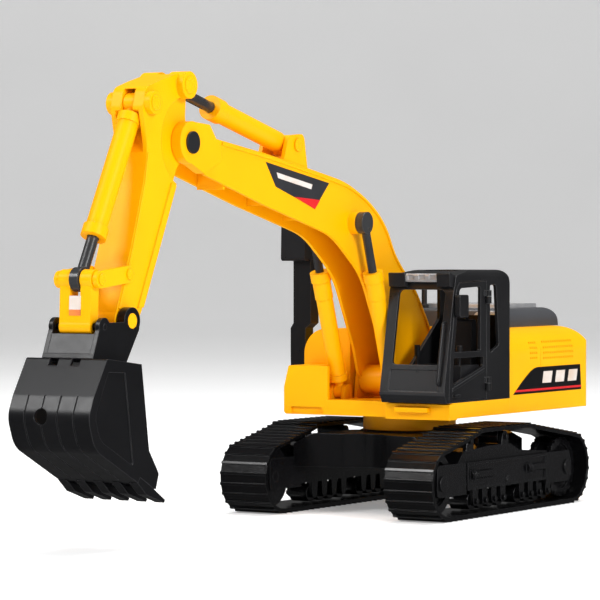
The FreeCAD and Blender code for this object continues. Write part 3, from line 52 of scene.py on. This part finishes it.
def shader_group(name, inputs, outputs):
    """A node group with these named sockets; each input is (name, kind, value)."""
    tree = bpy.data.node_groups.new(name, "ShaderNodeTree")
    for label, kind, value in inputs:
        socket = tree.interface.new_socket(name=label, in_out="INPUT", socket_type="NodeSocket" + kind)
        if value is not None:
            socket.default_value = value
    for label, kind in outputs:
        tree.interface.new_socket(name=label, in_out="OUTPUT", socket_type="NodeSocket" + kind)
    return tree, tree.nodes.new("NodeGroupInput"), tree.nodes.new("NodeGroupOutput")


def node(tree, kind, **settings):
    made = tree.nodes.new("ShaderNode" + kind)
    for key, value in settings.items():
        setattr(made, key, value)
    return made


def math_node(tree, operation, first, second=None):
    made = node(tree, "Math", operation=operation)
    for socket, value in zip(made.inputs, (first, second)):
        if hasattr(value, "is_linked"):
            tree.links.new(value, socket)
        elif value is not None:
            socket.default_value = value
    return made.outputs[0]


def mix_colours(tree, share, first, second, blend="MIX"):
    made = node(tree, "Mix", data_type="RGBA", blend_type=blend)
    for socket, value in ((made.inputs[0], share), (made.inputs[6], first), (made.inputs[7], second)):
        if hasattr(value, "is_linked"):
            tree.links.new(value, socket)
        else:
            socket.default_value = value
    return made.outputs[2]


def moulded_surface_group():
    """Colour drifts between two tints over cloudy noise; roughness is gloss plus spread times finer
    noise; height is a fine grain, as left by a mould's surface."""
    tree, given, out = shader_group(
        "moulded surface",
        [("Tint", "Color", (0.5, 0.5, 0.5, 1)), ("Deeper Tint", "Color", (0.4, 0.4, 0.4, 1)),
         ("Cloud Scale", "Float", 40.0), ("Gloss", "Float", 0.3), ("Gloss Spread", "Float", 0.1),
         ("Grain Scale", "Float", 1500.0)],
        [("Colour", "Color"), ("Roughness", "Float"), ("Height", "Float")])
    where = node(tree, "TexCoord")
    clouds = node(tree, "TexNoise")
    clouds.inputs["Detail"].default_value = 4.0
    smears = node(tree, "TexNoise")
    smears.inputs["Detail"].default_value = 5.0
    smears.inputs["Scale"].default_value = 210.0
    grain = node(tree, "TexNoise")
    grain.inputs["Detail"].default_value = 1.0
    for texture in (clouds, smears, grain):
        tree.links.new(where.outputs["Object"], texture.inputs["Vector"])
    tree.links.new(given.outputs["Cloud Scale"], clouds.inputs["Scale"])
    tree.links.new(given.outputs["Grain Scale"], grain.inputs["Scale"])
    steep = node(tree, "MapRange")
    steep.inputs["From Min"].default_value = 0.35
    steep.inputs["From Max"].default_value = 0.7
    tree.links.new(clouds.outputs["Fac"], steep.inputs["Value"])
    colour = mix_colours(tree, steep.outputs["Result"], given.outputs["Tint"], given.outputs["Deeper Tint"])
    offset = math_node(tree, "SUBTRACT", smears.outputs["Fac"], 0.5)
    rough = math_node(tree, "ADD", given.outputs["Gloss"],
                      math_node(tree, "MULTIPLY", offset, given.outputs["Gloss Spread"]))
    tree.links.new(colour, out.inputs["Colour"])
    tree.links.new(rough, out.inputs["Roughness"])
    tree.links.new(grain.outputs["Fac"], out.inputs["Height"])
    return tree


def painted_edge_highlight_group():
    """Mask that is strong where the rounded normal turns away from the true one, so along sharp edges,
    and is broken up by noise; it lays a painted highlight along the edges."""
    tree, given, out = shader_group(
        "painted edge highlight", [("Rounded Normal", "Vector", None), ("Strength", "Float", 1.0)], [("Mask", "Float")])
    surface = node(tree, "NewGeometry")
    agree = node(tree, "VectorMath", operation="DOT_PRODUCT")
    tree.links.new(given.outputs["Rounded Normal"], agree.inputs[0])
    tree.links.new(surface.outputs["Normal"], agree.inputs[1])
    where = node(tree, "TexCoord")
    patches = node(tree, "TexNoise")
    patches.inputs["Scale"].default_value = 90.0
    tree.links.new(where.outputs["Object"], patches.inputs["Vector"])
    turned = math_node(tree, "SUBTRACT", 1.0, agree.outputs["Value"])
    patchy = math_node(tree, "MULTIPLY", turned, math_node(tree, "ADD", patches.outputs["Fac"], 0.35))
    mask = math_node(tree, "MULTIPLY", patchy, given.outputs["Strength"])
    capped = math_node(tree, "MINIMUM", mask, 1.0)
    tree.links.new(capped, out.inputs["Mask"])
    return tree


MOULDED_SURFACE = moulded_surface_group()
PAINTED_EDGE_HIGHLIGHT = painted_edge_highlight_group()


def moulded_plastic(name, tint, deeper, edge_highlight_tint, gloss=0.3, spread=0.12, clouds=35.0, grain=1400.0,
                    grain_depth=0.03, edge=0.0006, edge_highlight_strength=2.2, specular=0.4):
    """Plastic as it comes from the mould: tinted right through, faintly grained, edges rounded by edge
    metres, with a painted highlight that lightens the edges towards the edge highlight tint."""
    material = bpy.data.materials.new(name)
    material.use_nodes = True
    tree = material.node_tree
    shader = tree.nodes["Principled BSDF"]
    surface = node(tree, "Group", node_tree=MOULDED_SURFACE)
    for label, value in (("Tint", (*tint, 1)), ("Deeper Tint", (*deeper, 1)), ("Cloud Scale", clouds),
                         ("Gloss", gloss), ("Gloss Spread", spread), ("Grain Scale", grain)):
        surface.inputs[label].default_value = value
    rounded = node(tree, "Bevel", samples=4)
    rounded.inputs["Radius"].default_value = edge
    # Painted highlight: colour is lightened along the edges towards the fourth colour given.
    painted_highlight = node(tree, "Group", node_tree=PAINTED_EDGE_HIGHLIGHT)
    painted_highlight.inputs["Strength"].default_value = edge_highlight_strength
    tree.links.new(rounded.outputs["Normal"], painted_highlight.inputs["Rounded Normal"])
    colour = mix_colours(tree, painted_highlight.outputs["Mask"], surface.outputs["Colour"], (*edge_highlight_tint, 1))
    relief = node(tree, "Bump")
    relief.inputs["Strength"].default_value = grain_depth
    relief.inputs["Distance"].default_value = 0.001
    tree.links.new(surface.outputs["Height"], relief.inputs["Height"])
    tree.links.new(rounded.outputs["Normal"], relief.inputs["Normal"])
    tree.links.new(colour, shader.inputs["Base Color"])
    tree.links.new(surface.outputs["Roughness"], shader.inputs["Roughness"])
    tree.links.new(relief.outputs["Normal"], shader.inputs["Normal"])
    shader.inputs["Specular IOR Level"].default_value = specular
    return material


def finish_nodes(material, *names):
    """Gives these CAD nodes the material in place of what they were packed with."""
    for name in names:
        nodes[name].data.materials.clear()
        nodes[name].data.materials.append(material)


# The fourth colour of each moulded plastic is its painted edge highlight.
undercarriage_black = moulded_plastic(
    "undercarriage black", (0.0045, 0.0045, 0.005), (0.003, 0.003, 0.0035), (0.060, 0.060, 0.064),
    gloss=0.20, spread=0.12, edge_highlight_strength=1.6, specular=0.55)
finish_nodes(undercarriage_black, "car_body", "track_frame_left", "track_frame_right",
             "side_plate_left", "side_plate_right", "bottom_rollers_left", "bottom_rollers_right",
             "carrier_rollers_left", "carrier_rollers_right", "wheel_axles")

# ---------------------------------------------------------------------------
# Belts: one soft black moulding each, flat shoes with a low bar across every joint.
# They are stretched over the wheels by hand and are glossier than the frames.

belt_black = moulded_plastic(
    "belt black", (0.0028, 0.0028, 0.0032), (0.0018, 0.0018, 0.002), (0.045, 0.045, 0.048),
    gloss=0.20, spread=0.14, clouds=60.0, edge=0.0004, edge_highlight_strength=1.6, specular=0.34)
finish_nodes(belt_black, "track_belt_left", "track_belt_right")

# ---------------------------------------------------------------------------
# Idler wheels in front and driving wheels at the rear, black moulded plastic.
# They turn on axles pressed through the frames' yokes.

finish_nodes(undercarriage_black, "idler_wheel_left", "idler_wheel_right",
             "drive_wheel_left", "drive_wheel_right")

# ---------------------------------------------------------------------------
# Screws and the washer that holds the upper body on its post: zinc-plated steel.
# The heads lie in pockets under the centre body.


def plated_steel():
    """Bright plating with faint patchy gloss and a warmer bloom."""
    material = bpy.data.materials.new("zinc plated steel")
    material.use_nodes = True
    tree = material.node_tree
    shader = tree.nodes["Principled BSDF"]
    shader.inputs["Metallic"].default_value = 1.0
    surface = node(tree, "Group", node_tree=MOULDED_SURFACE)
    for label, value in (("Tint", (0.62, 0.61, 0.58, 1)), ("Deeper Tint", (0.48, 0.47, 0.43, 1)),
                         ("Cloud Scale", 260.0), ("Gloss", 0.34), ("Gloss Spread", 0.2),
                         ("Grain Scale", 3000.0)):
        surface.inputs[label].default_value = value
    tree.links.new(surface.outputs["Colour"], shader.inputs["Base Color"])
    tree.links.new(surface.outputs["Roughness"], shader.inputs["Roughness"])
    return material


finish_nodes(plated_steel(), "car_body_screws", "slew_washer", "slew_screw", "door_hinge_pins")

# ---------------------------------------------------------------------------
# Deck, slewing ring, engine cover and step box: yellow moulded plastic, satin gloss.
# The covers snap over the deck's edge.

body_yellow = moulded_plastic(
    "body yellow", (0.98, 0.445, 0.0), (0.95, 0.415, 0.0), (1.0, 0.55, 0.004),
    gloss=0.38, spread=0.1, clouds=22.0, edge_highlight_strength=1.2, specular=0.12)
finish_nodes(body_yellow, "deck", "slew_ring", "engine_cover", "side_box", "boom", "stick",
             "bucket_pivot_pin", "side_links", "h_link", "boom_cylinder_left", "boom_cylinder_right",
             "arm_cylinder", "bucket_cylinder", "boom_cylinder_pins", "arm_cylinder_pin", "stick_pins",
             "link_pin")

# ---------------------------------------------------------------------------
# Hood over the engine, mid-grey plastic, with a silver grille and a silver frame
# round its air opening. The exhaust stub is black and pushed into the hood.

hood_grey = moulded_plastic(
    "hood grey", (0.060, 0.062, 0.068), (0.050, 0.052, 0.057), (0.24, 0.24, 0.25), gloss=0.36, clouds=30.0,
    grain_depth=0.008, specular=0.7)
finish_nodes(hood_grey, "engine_hood")
silver_lacquer = moulded_plastic(
    "silver lacquer", (0.62, 0.62, 0.63), (0.52, 0.52, 0.54), (0.8, 0.8, 0.8), gloss=0.33, clouds=120.0,
    grain=2600.0)
silver_lacquer.node_tree.nodes["Principled BSDF"].inputs["Metallic"].default_value = 0.6
finish_nodes(silver_lacquer, "hood_grille", "hood_trim", "light_bar")

# ---------------------------------------------------------------------------
# Cab and door: charcoal moulded plastic, satin. The door hangs on two pinned
# hinges behind its rear edge.

cab_charcoal = moulded_plastic(
    "cab charcoal", (0.011, 0.011, 0.012), (0.008, 0.008, 0.009), (0.11, 0.11, 0.115),
    gloss=0.30, spread=0.12, edge_highlight_strength=2.6, specular=0.32)
finish_nodes(cab_charcoal, "cab_shell", "cab_door", "side_mirror", "hand_lever")
trim_black = moulded_plastic(
    "trim black", (0.016, 0.016, 0.018), (0.010, 0.010, 0.011), (0.05, 0.05, 0.05),
    gloss=0.3, specular=0.35)
finish_nodes(trim_black, "roof_lamps", "exhaust_pipe", "driver_seat", "joysticks", "lever_grip",
             "boom_head_pin")

# ---------------------------------------------------------------------------
# Piston rods and the pins they push on: dark grey plastic, polished.

rod_grey = moulded_plastic(
    "rod grey", (0.035, 0.036, 0.038), (0.025, 0.025, 0.027), (0.10, 0.10, 0.10), gloss=0.24, specular=0.5)
finish_nodes(rod_grey, "boom_rod_left", "boom_rod_right", "arm_rod", "bucket_rod", "boom_foot_shaft")

# ---------------------------------------------------------------------------
# Bucket, teeth and the coupler that carries them: black-grey moulded plastic, satin.

bucket_black = moulded_plastic(
    "bucket black", (0.006, 0.006, 0.007), (0.004, 0.004, 0.005), (0.075, 0.075, 0.08),
    gloss=0.32, spread=0.16, edge_highlight_strength=2.4, specular=0.34)
finish_nodes(bucket_black, "bucket_shell", "bucket_teeth", "bucket_coupler", "coupler_pin")

# ---------------------------------------------------------------------------
# Lips along the boom's top edge and the stick's front edge: moulded in one with them,
# a little proud of the side plates, where the webs meet the sides.

SLEW_Y = next(joint["pos_m"][1] for joint in frame["joints"] if joint["name"] == "slew")
BOOM_MIDDLE = (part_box("boom_head_pin")[0].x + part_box("boom_head_pin")[1].x) / 2
BOOM_HALF = 0.0103
STICK_HALF = 0.0101


def from_slew(outline):
    """Outline in millimetres about the slewing axis, (y, z) rows, to metres in the machine's frame."""
    return np.asarray(outline, float) / 1000 + (SLEW_Y, 0.0)


def smooth_path(corners, steps=8):
    """Catmull-Rom curve through the corners: each span is the cubic that passes both its corners with
    the slope of the neighbours' chord."""
    points = np.vstack((2 * corners[0] - corners[1], corners, 2 * corners[-1] - corners[-2]))
    share = np.linspace(0, 1, steps, endpoint=False)[:, None, None]
    a, b, c, d = points[:-3], points[1:-2], points[2:-1], points[3:]
    spans = 0.5 * (2 * b + (c - a) * share + (2 * a - 5 * b + 4 * c - d) * share ** 2
                   + (3 * b - a - 3 * c + d) * share ** 3)
    return np.vstack((spans.transpose(1, 0, 2).reshape(-1, corners.shape[1]), corners[-1:]))


def closed_sweep(name, rings, material, body):
    """Skin over rings of points, shaped (ring, point, xyz); each end is closed by a fan to its centre."""
    count, around = rings.shape[:2]
    index = np.arange(count * around).reshape(count, around)
    ahead = np.roll(index, -1, axis=1)
    skin = np.stack((index[:-1], ahead[:-1], ahead[1:], index[1:]), axis=-1).reshape(-1, 4).tolist()
    first, last = count * around, count * around + 1
    fans = np.stack((np.full(around, first), ahead[0], index[0]), axis=-1).tolist()
    fans += np.stack((np.full(around, last), index[-1], ahead[-1]), axis=-1).tolist()
    points = np.vstack((rings.reshape(-1, 3), rings[0].mean(0), rings[-1].mean(0)))
    mesh = bpy.data.meshes.new(name)
    mesh.from_pydata(points.tolist(), [], skin + fans)
    face_out(mesh)
    made = bpy.data.objects.new(name, mesh)
    bpy.context.scene.collection.objects.link(made)
    mesh.materials.append(material)
    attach(made, body)
    return made


def face_out(mesh):
    """Turns every face of a closed mesh outwards."""
    shape = bmesh.new()
    shape.from_mesh(mesh)
    bmesh.ops.recalc_face_normals(shape, faces=shape.faces)
    shape.to_mesh(mesh)
    shape.free()


def edge_lip(name, path, side, depth, width, proud, material, body):
    """A flat bar along path, (y, z) rows: its section is a chamfered rectangle, width across the path to
    its left, standing proud of the plane x = side."""
    along = np.gradient(path, axis=0)
    along /= np.linalg.norm(along, axis=1, keepdims=True)
    across = np.stack((-along[:, 1], along[:, 0]), axis=1)
    chamfer = 0.35 * proud
    reach = np.array([0.0, 0.0, chamfer, width - chamfer, width, width])
    rise = np.array([-depth, proud - chamfer, proud, proud, proud - chamfer, -depth])
    outward = 1.0 if side > BOOM_MIDDLE else -1.0
    rings = np.empty((len(path), len(reach), 3))
    rings[:, :, 0] = side + outward * rise
    rings[:, :, 1:] = path[:, None, :] + across[:, None, :] * reach[None, :, None]
    return closed_sweep(name, rings, material, body)


LIP_PROUD = 0.0008
LIP_DEPTH = 0.0008
BOOM_LIP_WIDTH = 0.0017
STICK_LIP_WIDTH = 0.0015
boom_top = smooth_path(from_slew([(27.0, 101.0), (17.3, 114.6), (6.3, 128.4), (-7.9, 140.4), (-18.5, 150.6),
                                  (-27.5, 163.6), (-38.0, 173.6), (-53.5, 182.6), (-71.5, 189.2),
                                  (-97.0, 194.2), (-123.9, 198.6), (-160.9, 204.4), (-205.0, 210.2)]))
stick_front = from_slew([(-301.6, 123.0), (-289.4, 153.6), (-278.2, 187.4), (-275.0, 203.0)])
for label, sign in (("near", 1), ("far", -1)):
    edge_lip("boom_top_lip_" + label, boom_top, BOOM_MIDDLE + sign * BOOM_HALF, LIP_DEPTH, BOOM_LIP_WIDTH,
             LIP_PROUD, body_yellow, "boom")
    edge_lip("stick_front_lip_" + label, stick_front[::-1], BOOM_MIDDLE + sign * STICK_HALF, LIP_DEPTH,
             STICK_LIP_WIDTH, LIP_PROUD, body_yellow, "stick")

# ---------------------------------------------------------------------------
# Bosses round the pivots: low yellow discs moulded on the ears, each with a
# dished middle, which cover the ends of the pins.


def turned_boss(name, place, outer_x, radius, proud, material, body):
    """Surface of revolution about X at place (y, z): the radius and height rows give a chamfered disc
    with a shallow dish, standing from x = outer_x away from the boom's middle."""
    outward = 1.0 if outer_x > BOOM_MIDDLE else -1.0
    radii = np.array([1.0, 1.0, 0.93, 0.62, 0.56, 0.30, 0.0001]) * radius
    rise = np.array([-0.4, 0.72, 1.0, 1.0, 0.62, 0.55, 0.55]) * proud
    turn = np.linspace(0, 2 * math.pi, 40, endpoint=False)
    rings = np.empty((len(radii), len(turn), 3))
    rings[:, :, 0] = outer_x + outward * rise[:, None]
    rings[:, :, 1] = place[0] + radii[:, None] * np.cos(turn)
    rings[:, :, 2] = place[1] + radii[:, None] * np.sin(turn)
    made = closed_sweep(name, rings, material, body)
    made.data.polygons.foreach_set("use_smooth", np.ones(len(made.data.polygons), bool))
    made.data.set_sharp_from_angle(angle=math.radians(32))
    return made


def joint_place(name):
    """Where a hinge turns, as (y, z)."""
    pos = next(joint["pos_m"] for joint in frame["joints"] if joint["name"] == name)
    return np.array(pos[1:])


LINK_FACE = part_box("side_links")[1].x - BOOM_MIDDLE + 0.0001
ARM_BASE = from_slew([(-125.5, 211.0)])[0]
BOSSES = [("link_boss_side", joint_place("side_link_turn"), LINK_FACE, 0.0029, 0.0009, "links"),
          ("link_boss_h", joint_place("h_link_turn"), LINK_FACE, 0.0029, 0.0009, "links"),
          ("arm_pin_boss", joint_place("arm_rod_tilt"), 0.01400, 0.0046, 0.0006, "stick"),
          ("bucket_pin_boss", joint_place("bucket_cylinder_tilt"), 0.01370, 0.0040, 0.0006, "stick"),
          ("arm_base_boss", ARM_BASE, 0.0096, 0.0036, 0.0005, "boom")]
for label, sign in (("near", 1), ("far", -1)):
    for name, place, reach, radius, proud, body in BOSSES:
        turned_boss(name + "_" + label, place, BOOM_MIDDLE + sign * reach, radius, proud, body_yellow, body)

# ---------------------------------------------------------------------------
# Panels printed on foil and stuck on: a dark panel with a red corner on each side
# of the boom, a black one with a red stripe on each side of the engine cover.


def printed_foil(name, tint, deeper):
    return moulded_plastic(name, tint, deeper, deeper, gloss=0.3, spread=0.06, clouds=70.0, grain=2200.0,
                           grain_depth=0.01, edge=0.0001, edge_highlight_strength=0.0, specular=0.35)


def foil_panel(name, rim, outward, material, body, thickness=0.00025):
    """Flat panel with the corners rim, (x, y, z) rows, facing outward: rings shrink from the rim towards
    its centre while they rise from the surface to the panel's thickness."""
    centre = rim.mean(0)
    shrink = np.array([1.0, 1.0, 0.985, 0.5, 0.0001])
    rise = np.array([-0.6, 0.7, 1.0, 1.0, 1.0]) * thickness
    rings = centre + (rim - centre)[None] * shrink[:, None, None]
    rings = rings + rise[:, None, None] * np.asarray(outward)
    return closed_sweep(name, rings, material, body)


def on_side(outline, side):
    """The outline's (y, z) rows as points of the plane x = side."""
    return np.column_stack((np.full(len(outline), side), outline))


foil_dark = printed_foil("foil dark grey", (0.032, 0.032, 0.036), (0.026, 0.026, 0.030))
foil_black = printed_foil("foil black", (0.004, 0.004, 0.005), (0.006, 0.006, 0.007))
foil_red = printed_foil("foil red", (0.70, 0.018, 0.022), (0.60, 0.014, 0.018))
foil_pale = printed_foil("foil pale", (0.72, 0.66, 0.62), (0.66, 0.52, 0.42))

boom_panel = from_slew([(-160.9, 200.8), (-93.5, 190.4), (-109.1, 175.8), (-150.5, 187.4)])
boom_corner = from_slew([(-131.6, 182.2), (-103.6, 180.7), (-109.1, 175.5)])
boom_bar = from_slew([(-150.0, 195.3), (-112.0, 189.3), (-113.4, 186.6), (-148.4, 192.2)])
cover_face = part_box("engine_cover")[1].x
cover_panel = from_slew([(24.4, 66.9), (31.0, 71.2), (37.0, 74.9), (42.0, 77.7), (47.0, 80.2),
                         (51.5, 81.8), (55.5, 82.4), (113.5, 82.4), (114.9, 66.9)])
cover_stripe = from_slew([(26.6, 68.3), (28.4, 69.6), (114.6, 69.6), (114.75, 68.3)])
cover_bars = [from_slew([(y, 72.6), (y + 1.8, 79.6), (y + 13.4, 79.6), (y + 11.6, 72.6)])
              for y in (62.0, 79.0, 96.0)]
for label, sign in (("left", 1), ("right", -1)):
    boom_side = BOOM_MIDDLE + sign * BOOM_HALF
    cover_side = sign * cover_face
    outward = (float(sign), 0.0, 0.0)
    layers = [("boom_panel", boom_panel, boom_side, foil_dark, "boom"),
              ("boom_panel_corner", boom_corner, boom_side + sign * 0.0001, foil_red, "boom"),
              ("boom_panel_bar", boom_bar, boom_side + sign * 0.0002, foil_pale, "boom"),
              ("cover_panel", cover_panel, cover_side, foil_black, "upper_body"),
              ("cover_stripe", cover_stripe, cover_side + sign * 0.0002, foil_red, "upper_body")]
    layers += [("cover_bar_%d" % (place + 1), bar, cover_side + sign * 0.0002, foil_pale, "upper_body")
               for place, bar in enumerate(cover_bars)]
    for name, outline, side, material, body in layers:
        foil_panel(name + "_" + label, on_side(outline, side), outward, material, body)

# ---------------------------------------------------------------------------
# Small pale label with a coloured foot, stuck on the front of the bucket's H-shaped
# link. It is paper with a clear film.

LABEL_LOW, LABEL_HIGH, LABEL_LEFT, LABEL_RIGHT = 119.6, 129.6, -13.4, -6.4
LABEL_FACE = -325.43
LABEL_LEAN = 0.0369


def label_corners(low, high):
    """Corners on the link's front, which leans: y = LABEL_FACE + LABEL_LEAN (z - 115.98)."""
    rows = [(x, LABEL_FACE + LABEL_LEAN * (z - 115.98), z)
            for x, z in ((LABEL_LEFT, low), (LABEL_RIGHT, low), (LABEL_RIGHT, high), (LABEL_LEFT, high))]
    return np.asarray(rows) / 1000 + (0.0, SLEW_Y, 0.0)


label_outward = np.array([0.0, -1.0, LABEL_LEAN]) / math.hypot(1.0, LABEL_LEAN)
foil_orange = printed_foil("foil orange", (0.80, 0.24, 0.05), (0.62, 0.14, 0.06))
LABEL_FOOT = 3.0
label_foot = label_corners(LABEL_LOW, LABEL_LOW + LABEL_FOOT) + label_outward * 0.0001
foil_panel("link_label", label_corners(LABEL_LOW, LABEL_HIGH), label_outward, foil_pale, "h_link")
foil_panel("link_label_foot", label_foot, label_outward, foil_orange, "h_link")

# ---------------------------------------------------------------------------
# Small black parts of the cab: a skirt under its nose and a bent handrail on the
# front pillar. They are moulded by themselves and clipped on.


def bent_rod(name, corners, radius, material, body):
    """Round rod: a circle carried along the smoothed path, in the plane square to each step, with its
    first direction chosen square to X where the path allows."""
    path = smooth_path(np.asarray(corners, float), steps=6)
    along = np.gradient(path, axis=0)
    along /= np.linalg.norm(along, axis=1, keepdims=True)
    first = np.cross(along, np.array([0.0, 0.6, 0.8]))
    first /= np.linalg.norm(first, axis=1, keepdims=True)
    second = np.cross(along, first)
    turn = np.linspace(0, 2 * math.pi, 16, endpoint=False)
    rings = (path[:, None, :] + radius * (np.cos(turn)[None, :, None] * first[:, None, :]
                                          + np.sin(turn)[None, :, None] * second[:, None, :]))
    made = closed_sweep(name, rings, material, body)
    made.data.polygons.foreach_set("use_smooth", np.ones(len(made.data.polygons), bool))
    made.data.set_sharp_from_angle(angle=math.radians(40))
    return made


def cab_point(x, y, z):
    return (x / 1000, y / 1000 + SLEW_Y, z / 1000)


RAIL_X = 52.4
RAIL_RADIUS = 0.0008
rail_corners = [(-58.8, 76.0), (-60.7, 76.4), (-60.4, 80.0), (-57.6, 95.0), (-55.0, 107.5), (-54.2, 110.6),
                (-51.8, 111.0)]
bent_rod("cab_handrail", [cab_point(RAIL_X, y, z) for y, z in rail_corners], RAIL_RADIUS, trim_black,
         "upper_body")

skirt_path = from_slew([(-57.9, 65.5), (-59.3, 67.6), (-60.35, 69.8), (-60.0, 71.6)])
skirt_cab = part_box("cab_shell")


def skirt_rings(path, low, high, thickness):
    """Bar along the path whose section spans low to high in X and thickness outwards of the path."""
    along = np.gradient(path, axis=0)
    along /= np.linalg.norm(along, axis=1, keepdims=True)
    across = np.stack((-along[:, 1], along[:, 0]), axis=1)
    reach = np.array([-0.3, 1.0, 1.0, -0.3]) * thickness
    spread = np.array([low, low, high, high])
    rings = np.empty((len(path), 4, 3))
    rings[:, :, 0] = spread
    rings[:, :, 1:] = path[:, None, :] + across[:, None, :] * reach[None, :, None]
    return rings


closed_sweep("cab_skirt", skirt_rings(skirt_path, skirt_cab[0].x + 0.0006, skirt_cab[1].x - 0.0022, 0.0006),
             trim_black, "upper_body")

# ---------------------------------------------------------------------------
# The studio: a pale floor that rises to a wall far behind the machine, soft lights in
# front, on the machine's left and above, and the camera low in front of its left.

SWEEP_RADIUS = 1.2
VIEW_BACK = Vector((0.5224, -0.8525, 0.01675)).normalized()
CAMERA_PLACE = Vector((0.8870, -1.4619, 0.1531))


def sweep_surface():
    """Rows run from the floor in front, flat up to the bend, then a quarter circle, then straight up;
    columns spread sideways, square to the view."""
    turn = np.linspace(0, math.pi / 2, 24)
    run = np.concatenate(([-12.0], SWEEP_RADIUS * np.sin(turn), [SWEEP_RADIUS]))
    rise = np.concatenate(([0.0], SWEEP_RADIUS * (1 - np.cos(turn)), [6.0]))
    ahead = np.array([-VIEW_BACK.x, -VIEW_BACK.y]) / math.hypot(VIEW_BACK.x, VIEW_BACK.y)
    sideways = np.array([-ahead[1], ahead[0]])
    across = np.linspace(-9.0, 9.0, 9)
    base = run[:, None, None] * ahead + across[None, :, None] * sideways + 5.0 * ahead
    heights = np.broadcast_to(rise[:, None, None], (*base.shape[:2], 1))
    return np.concatenate((base, heights), axis=2)


def grid_mesh(name, grid):
    rows, columns = grid.shape[:2]
    index = np.arange(rows * columns).reshape(rows, columns)
    faces = np.stack((index[:-1, :-1], index[:-1, 1:], index[1:, 1:], index[1:, :-1]), axis=-1)
    faces = faces.reshape(-1, 4)
    mesh = bpy.data.meshes.new(name)
    mesh.from_pydata(grid.reshape(-1, 3).tolist(), [], faces.tolist())
    mesh.polygons.foreach_set("use_smooth", np.ones(len(faces), bool))
    made = bpy.data.objects.new(name, mesh)
    bpy.context.scene.collection.objects.link(made)
    return made


def studio_white():
    material = bpy.data.materials.new("studio white")
    material.use_nodes = True
    tree = material.node_tree
    shader = tree.nodes["Principled BSDF"]
    surface = node(tree, "Group", node_tree=MOULDED_SURFACE)
    for label, value in (("Tint", (0.93, 0.93, 0.93, 1)), ("Deeper Tint", (0.90, 0.90, 0.90, 1)),
                         ("Cloud Scale", 3.0), ("Gloss", 0.8), ("Gloss Spread", 0.1)):
        surface.inputs[label].default_value = value
    tree.links.new(surface.outputs["Colour"], shader.inputs["Base Color"])
    tree.links.new(surface.outputs["Roughness"], shader.inputs["Roughness"])
    shader.inputs["Specular IOR Level"].default_value = 0.1
    shader.inputs["Emission Color"].default_value = (1.0, 1.0, 1.0, 1.0)
    shader.inputs["Emission Strength"].default_value = 0.24
    return material


sweep = grid_mesh("studio sweep", sweep_surface())
sweep.data.materials.append(studio_white())
sweep.visible_glossy = False


def soft_box(name, place, target, size, power):
    lamp = bpy.data.lights.new(name, "AREA")
    lamp.shape = "RECTANGLE"
    lamp.size, lamp.size_y = size
    lamp.energy = power
    made = bpy.data.objects.new(name, lamp)
    direction = Vector(target) - Vector(place)
    made.rotation_euler = direction.to_track_quat("-Z", "Y").to_euler()
    made.location = place
    bpy.context.scene.collection.objects.link(made)


soft_box("key light", (-0.9, -1.5, 1.3), (0.0, 0.0, 0.10), (0.7, 0.6), 21)
soft_box("fill light", (1.7, -0.7, 0.8), (0.0, 0.0, 0.1), (0.6, 0.6), 27)
soft_box("top light", (0.1, 0.3, 1.9), (0.0, 0.0, 0.0), (1.4, 1.4), 34)

world = bpy.data.worlds.new("studio")
world.use_nodes = True
background = world.node_tree.nodes["Background"]
background.inputs["Color"].default_value = (1.0, 1.0, 1.0, 1.0)
rays = node(world.node_tree, "LightPath")
seen = node(world.node_tree, "MapRange")
seen.inputs["To Min"].default_value = 0.24
seen.inputs["To Max"].default_value = 1.0
mirrored = node(world.node_tree, "Mix", data_type="FLOAT")
mirrored.inputs["B"].default_value = 0.10
world.node_tree.links.new(rays.outputs["Is Camera Ray"], seen.inputs["Value"])
world.node_tree.links.new(rays.outputs["Is Glossy Ray"], mirrored.inputs["Factor"])
world.node_tree.links.new(seen.outputs["Result"], mirrored.inputs["A"])
world.node_tree.links.new(mirrored.outputs["Result"], background.inputs["Strength"])
bpy.context.scene.world = world
bpy.context.scene.view_settings.view_transform = "Standard"

camera_data = bpy.data.cameras.new("camera")
camera_data.lens = 182.5
camera_data.sensor_width = 36.0
camera = bpy.data.objects.new("camera", camera_data)
side = Vector((0, 0, 1)).cross(VIEW_BACK).normalized()
upward = VIEW_BACK.cross(side)
camera_turn = Matrix((side, upward, VIEW_BACK)).transposed().to_4x4()
camera.matrix_world = Matrix.Translation(CAMERA_PLACE) @ camera_turn
bpy.context.scene.collection.objects.link(camera)
bpy.context.scene.camera = camera
